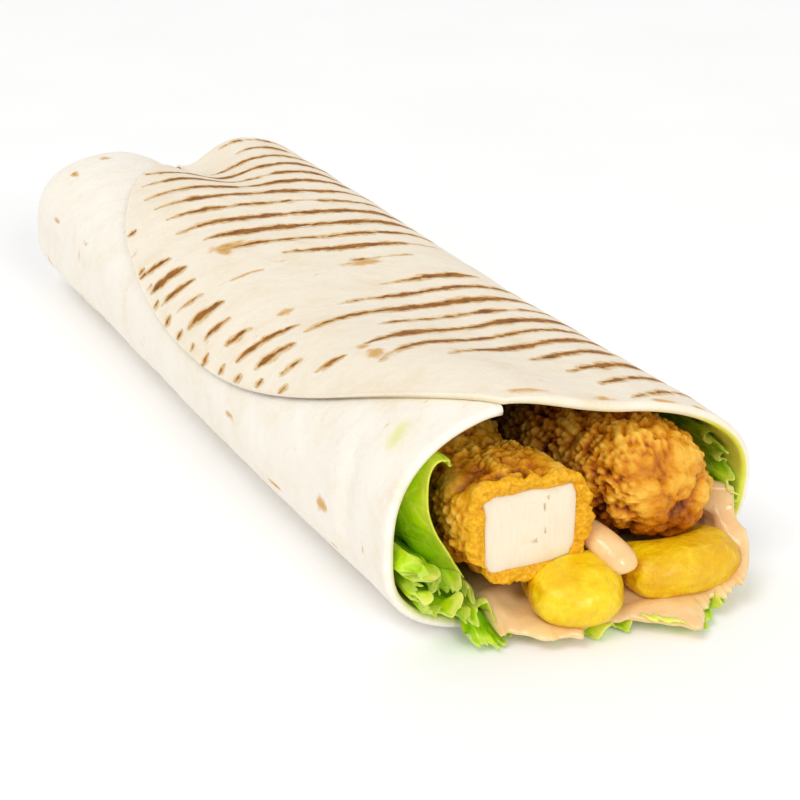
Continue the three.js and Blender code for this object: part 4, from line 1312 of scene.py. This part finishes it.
def makeSauceBed(material):
    # a pool over the bottom leaf, thin at a torn front edge and swelling to a soft round lip
    across = np.linspace(0, 1, sauce["columns"])[None]
    u = np.linspace(0, 1, sauce["rows"])[:, None]
    upTo = blend(sauce["to"], sauce["toInside"], smooth(0.05, 0.55, u)) * pi
    angle = blend(sauce["from"] * pi, upTo, across)
    onWall = smooth(*sauce["onWall"], angle / pi)
    front = sauceFrontAt(angle)
    s = backAlong(front, sauce["back"], u)
    over = sauce["over"] + sauce["overOnWall"] * onWall * smooth(rimY - 1, rimY + 5, s)
    floor = leafDepth(angle, s, leaves["lettuce_bottom"], 0.75, 4) + leafShape["thickness"] + over
    side = np.minimum(across, 1 - across)
    lip = quarterRound((s - front) / sauce["lip"]) * quarterRound(side / blend(*sauce["sideLip"], onWall))
    swell = 0.5 + 0.5 * noiseOver(15, angle * 2.6, s / 11)
    ripple = sauce["ripple"] * noiseOver(16, angle * 9, s / 3.2)
    inFromEdge = 0.35 + 0.65 * smooth(0, 7, s - front)
    inGap = onWall * smooth(rimY - 5, rimY + 8, s)
    thickness = sauce["thin"] + (sauce["thick"] * swell + ripple) * inFromEdge + sauce["gap"] * inGap
    bottom = below(angle, s, floor - sauce["sunk"] * lip)
    top = below(angle, s, floor + thickness * lip)
    for grid in (bottom, top):
        grid[..., 2] = np.maximum(grid[..., 2], sauce["lowest"])
    closedSheet("saucePool", bottom, top, material, ["sauce_bed"])


def makeDrip(material):
    # a tube along the path, blunt at both ends and a little fuller low down
    rows, sides = sauce["dripRings"], sauce["dripSides"]
    path = curveThrough(sauce["drip"], rows)
    tangent = unit(np.gradient(path, axis=0))
    sideways = unit(np.cross(np.array([1.0, 0, 0]), tangent))
    across = np.cross(tangent, sideways)
    u = np.linspace(0, 1, rows)
    blunt = np.sqrt(np.maximum(1 - np.abs(2 * u - 1) ** 7, 0.0004))
    girth = sauce["dripRadius"] * blunt * blend(0.85, 1.12, u) * (1 + 0.05 * np.sin(u * 9))
    angle = np.arange(sides) / sides * turn
    spoke = across[:, None] * np.sin(angle)[None, :, None] + sideways[:, None] * np.cos(angle)[None, :, None]
    rings = path[:, None] + spoke * girth[:, None, None] * [1, 1, sauce["dripFlat"]]
    ringBody("sauceDrip", rings[::-1], material, ["sauce_drip"])


def sauceFinish():  # cloudy peach with a few specks, wet and glossy
    material, tree, shader = newMaterial("peachSauce", (1.0, 0.6, 0.4), Roughness=0.2, Subsurface_Weight=0.4,
                                         Subsurface_Scale=0.004, Coat_Weight=0.4, Coat_Roughness=0.1)
    place = placeOn(tree)
    color = ramp(tree, noiseOn(tree, place, 5.0, 3.0, 0.55), *sauce["tints"])
    specks = rangeOf(tree, noiseOn(tree, place, 0.6, 2.0, 0.5), 0.72, 0.8)
    color = mixTints(tree, times(tree, specks, 0.4), color, sauce["speckTint"])
    tree.links.new(color, shader.inputs["Base Color"])
    normal = bumpOn(tree, noiseOn(tree, place, 2.2, 2.0, 0.5), 0.25)
    tree.links.new(normal, shader.inputs["Normal"])
    return material


peachSauce = sauceFinish()
makeSauceBed(peachSauce)
makeDrip(peachSauce)


studio = {
    "floorSize": 40.0,  # metres, as the rest here
    "floorTints": ((0.3, (249.3, 249.3, 249.3)), (0.7, (251.6, 251.6, 251.6))),
    "floorGlow": 0.05,
    "worldLight": 0.7,
    "lights": {
        "keyLight": {"azimuth": -60, "elevation": 55, "away": 4.0, "size": 2.2, "power": 46.0,
                     "color": (1.0, 0.99, 0.97)},
        "frontLight": {"azimuth": 2, "elevation": 28, "away": 4.0, "size": 1.3, "power": 36.0,
                       "color": (1.0, 1.0, 1.0)},
    },
    "target": (0.0115, -0.0065, 0.0017),  # what the camera looks at
    "azimuth": -25.2,
    "elevation": 22.9,
    "distance": 0.46,
    "lens": 90,
    "sensor": 36,
    "clip": (0.01, 50),
}
white = (1, 1, 1, 1)


def standAt(name, data, target, azimuth, elevation, distance):
    # a light or a camera at this distance from the target, turned to look at it
    a, e = math.radians(azimuth), math.radians(elevation)
    away = Vector((math.sin(a) * math.cos(e), -math.cos(a) * math.cos(e), math.sin(e)))
    holder = bpy.data.objects.new(name, data)
    holder.location = Vector(target) + away * distance
    holder.rotation_euler = away.to_track_quat("Z", "Y").to_euler()
    bpy.context.scene.collection.objects.link(holder)
    return holder


def makeFloor():  # a large pale plane
    half = studio["floorSize"] / 2
    mesh = bpy.data.meshes.new("studioFloor")
    corners = [(-half, -half, 0), (half, -half, 0), (half, half, 0), (-half, half, 0)]
    mesh.from_pydata(corners, [], [(0, 1, 2, 3)])
    material, tree, shader = newMaterial("paleFloor", Roughness=0.8, Specular_IOR_Level=0.2)
    faint = ramp(tree, noiseOn(tree, placeOn(tree), 60.0), *studio["floorTints"])
    tree.links.new(faint, shader.inputs["Base Color"])
    shader.inputs["Emission Color"].default_value = white
    shader.inputs["Emission Strength"].default_value = studio["floorGlow"]
    mesh.materials.append(material)
    floor = bpy.data.objects.new("studioFloor", mesh)
    bpy.context.scene.collection.objects.link(floor)


def makeLights():  # an even pale sky and two soft round lamps
    world = bpy.data.worlds.new("studioLight")
    bpy.context.scene.world = world
    world.use_nodes = True
    sky = world.node_tree.nodes["Background"]
    sky.inputs["Color"].default_value = white
    sky.inputs["Strength"].default_value = studio["worldLight"]
    for name, lamp in studio["lights"].items():
        light = bpy.data.lights.new(name, "AREA")
        light.shape = "DISK"
        light.size = lamp["size"]
        light.energy = lamp["power"]
        light.color = lamp["color"]
        standAt(name, light, (0, 0, 0), lamp["azimuth"], lamp["elevation"], lamp["away"])


def makeCamera():  # it stands where the photo was taken from
    camera = bpy.data.cameras.new("photoCamera")
    camera.lens = studio["lens"]
    camera.sensor_width = studio["sensor"]
    camera.clip_start, camera.clip_end = studio["clip"]
    bpy.context.scene.camera = standAt("photoCamera", camera, studio["target"], studio["azimuth"],
                                       studio["elevation"], studio["distance"])
    bpy.context.scene.view_settings.view_transform = "Standard"


makeFloor()
makeLights()
makeCamera()
print("made the floor, the lights and the camera")
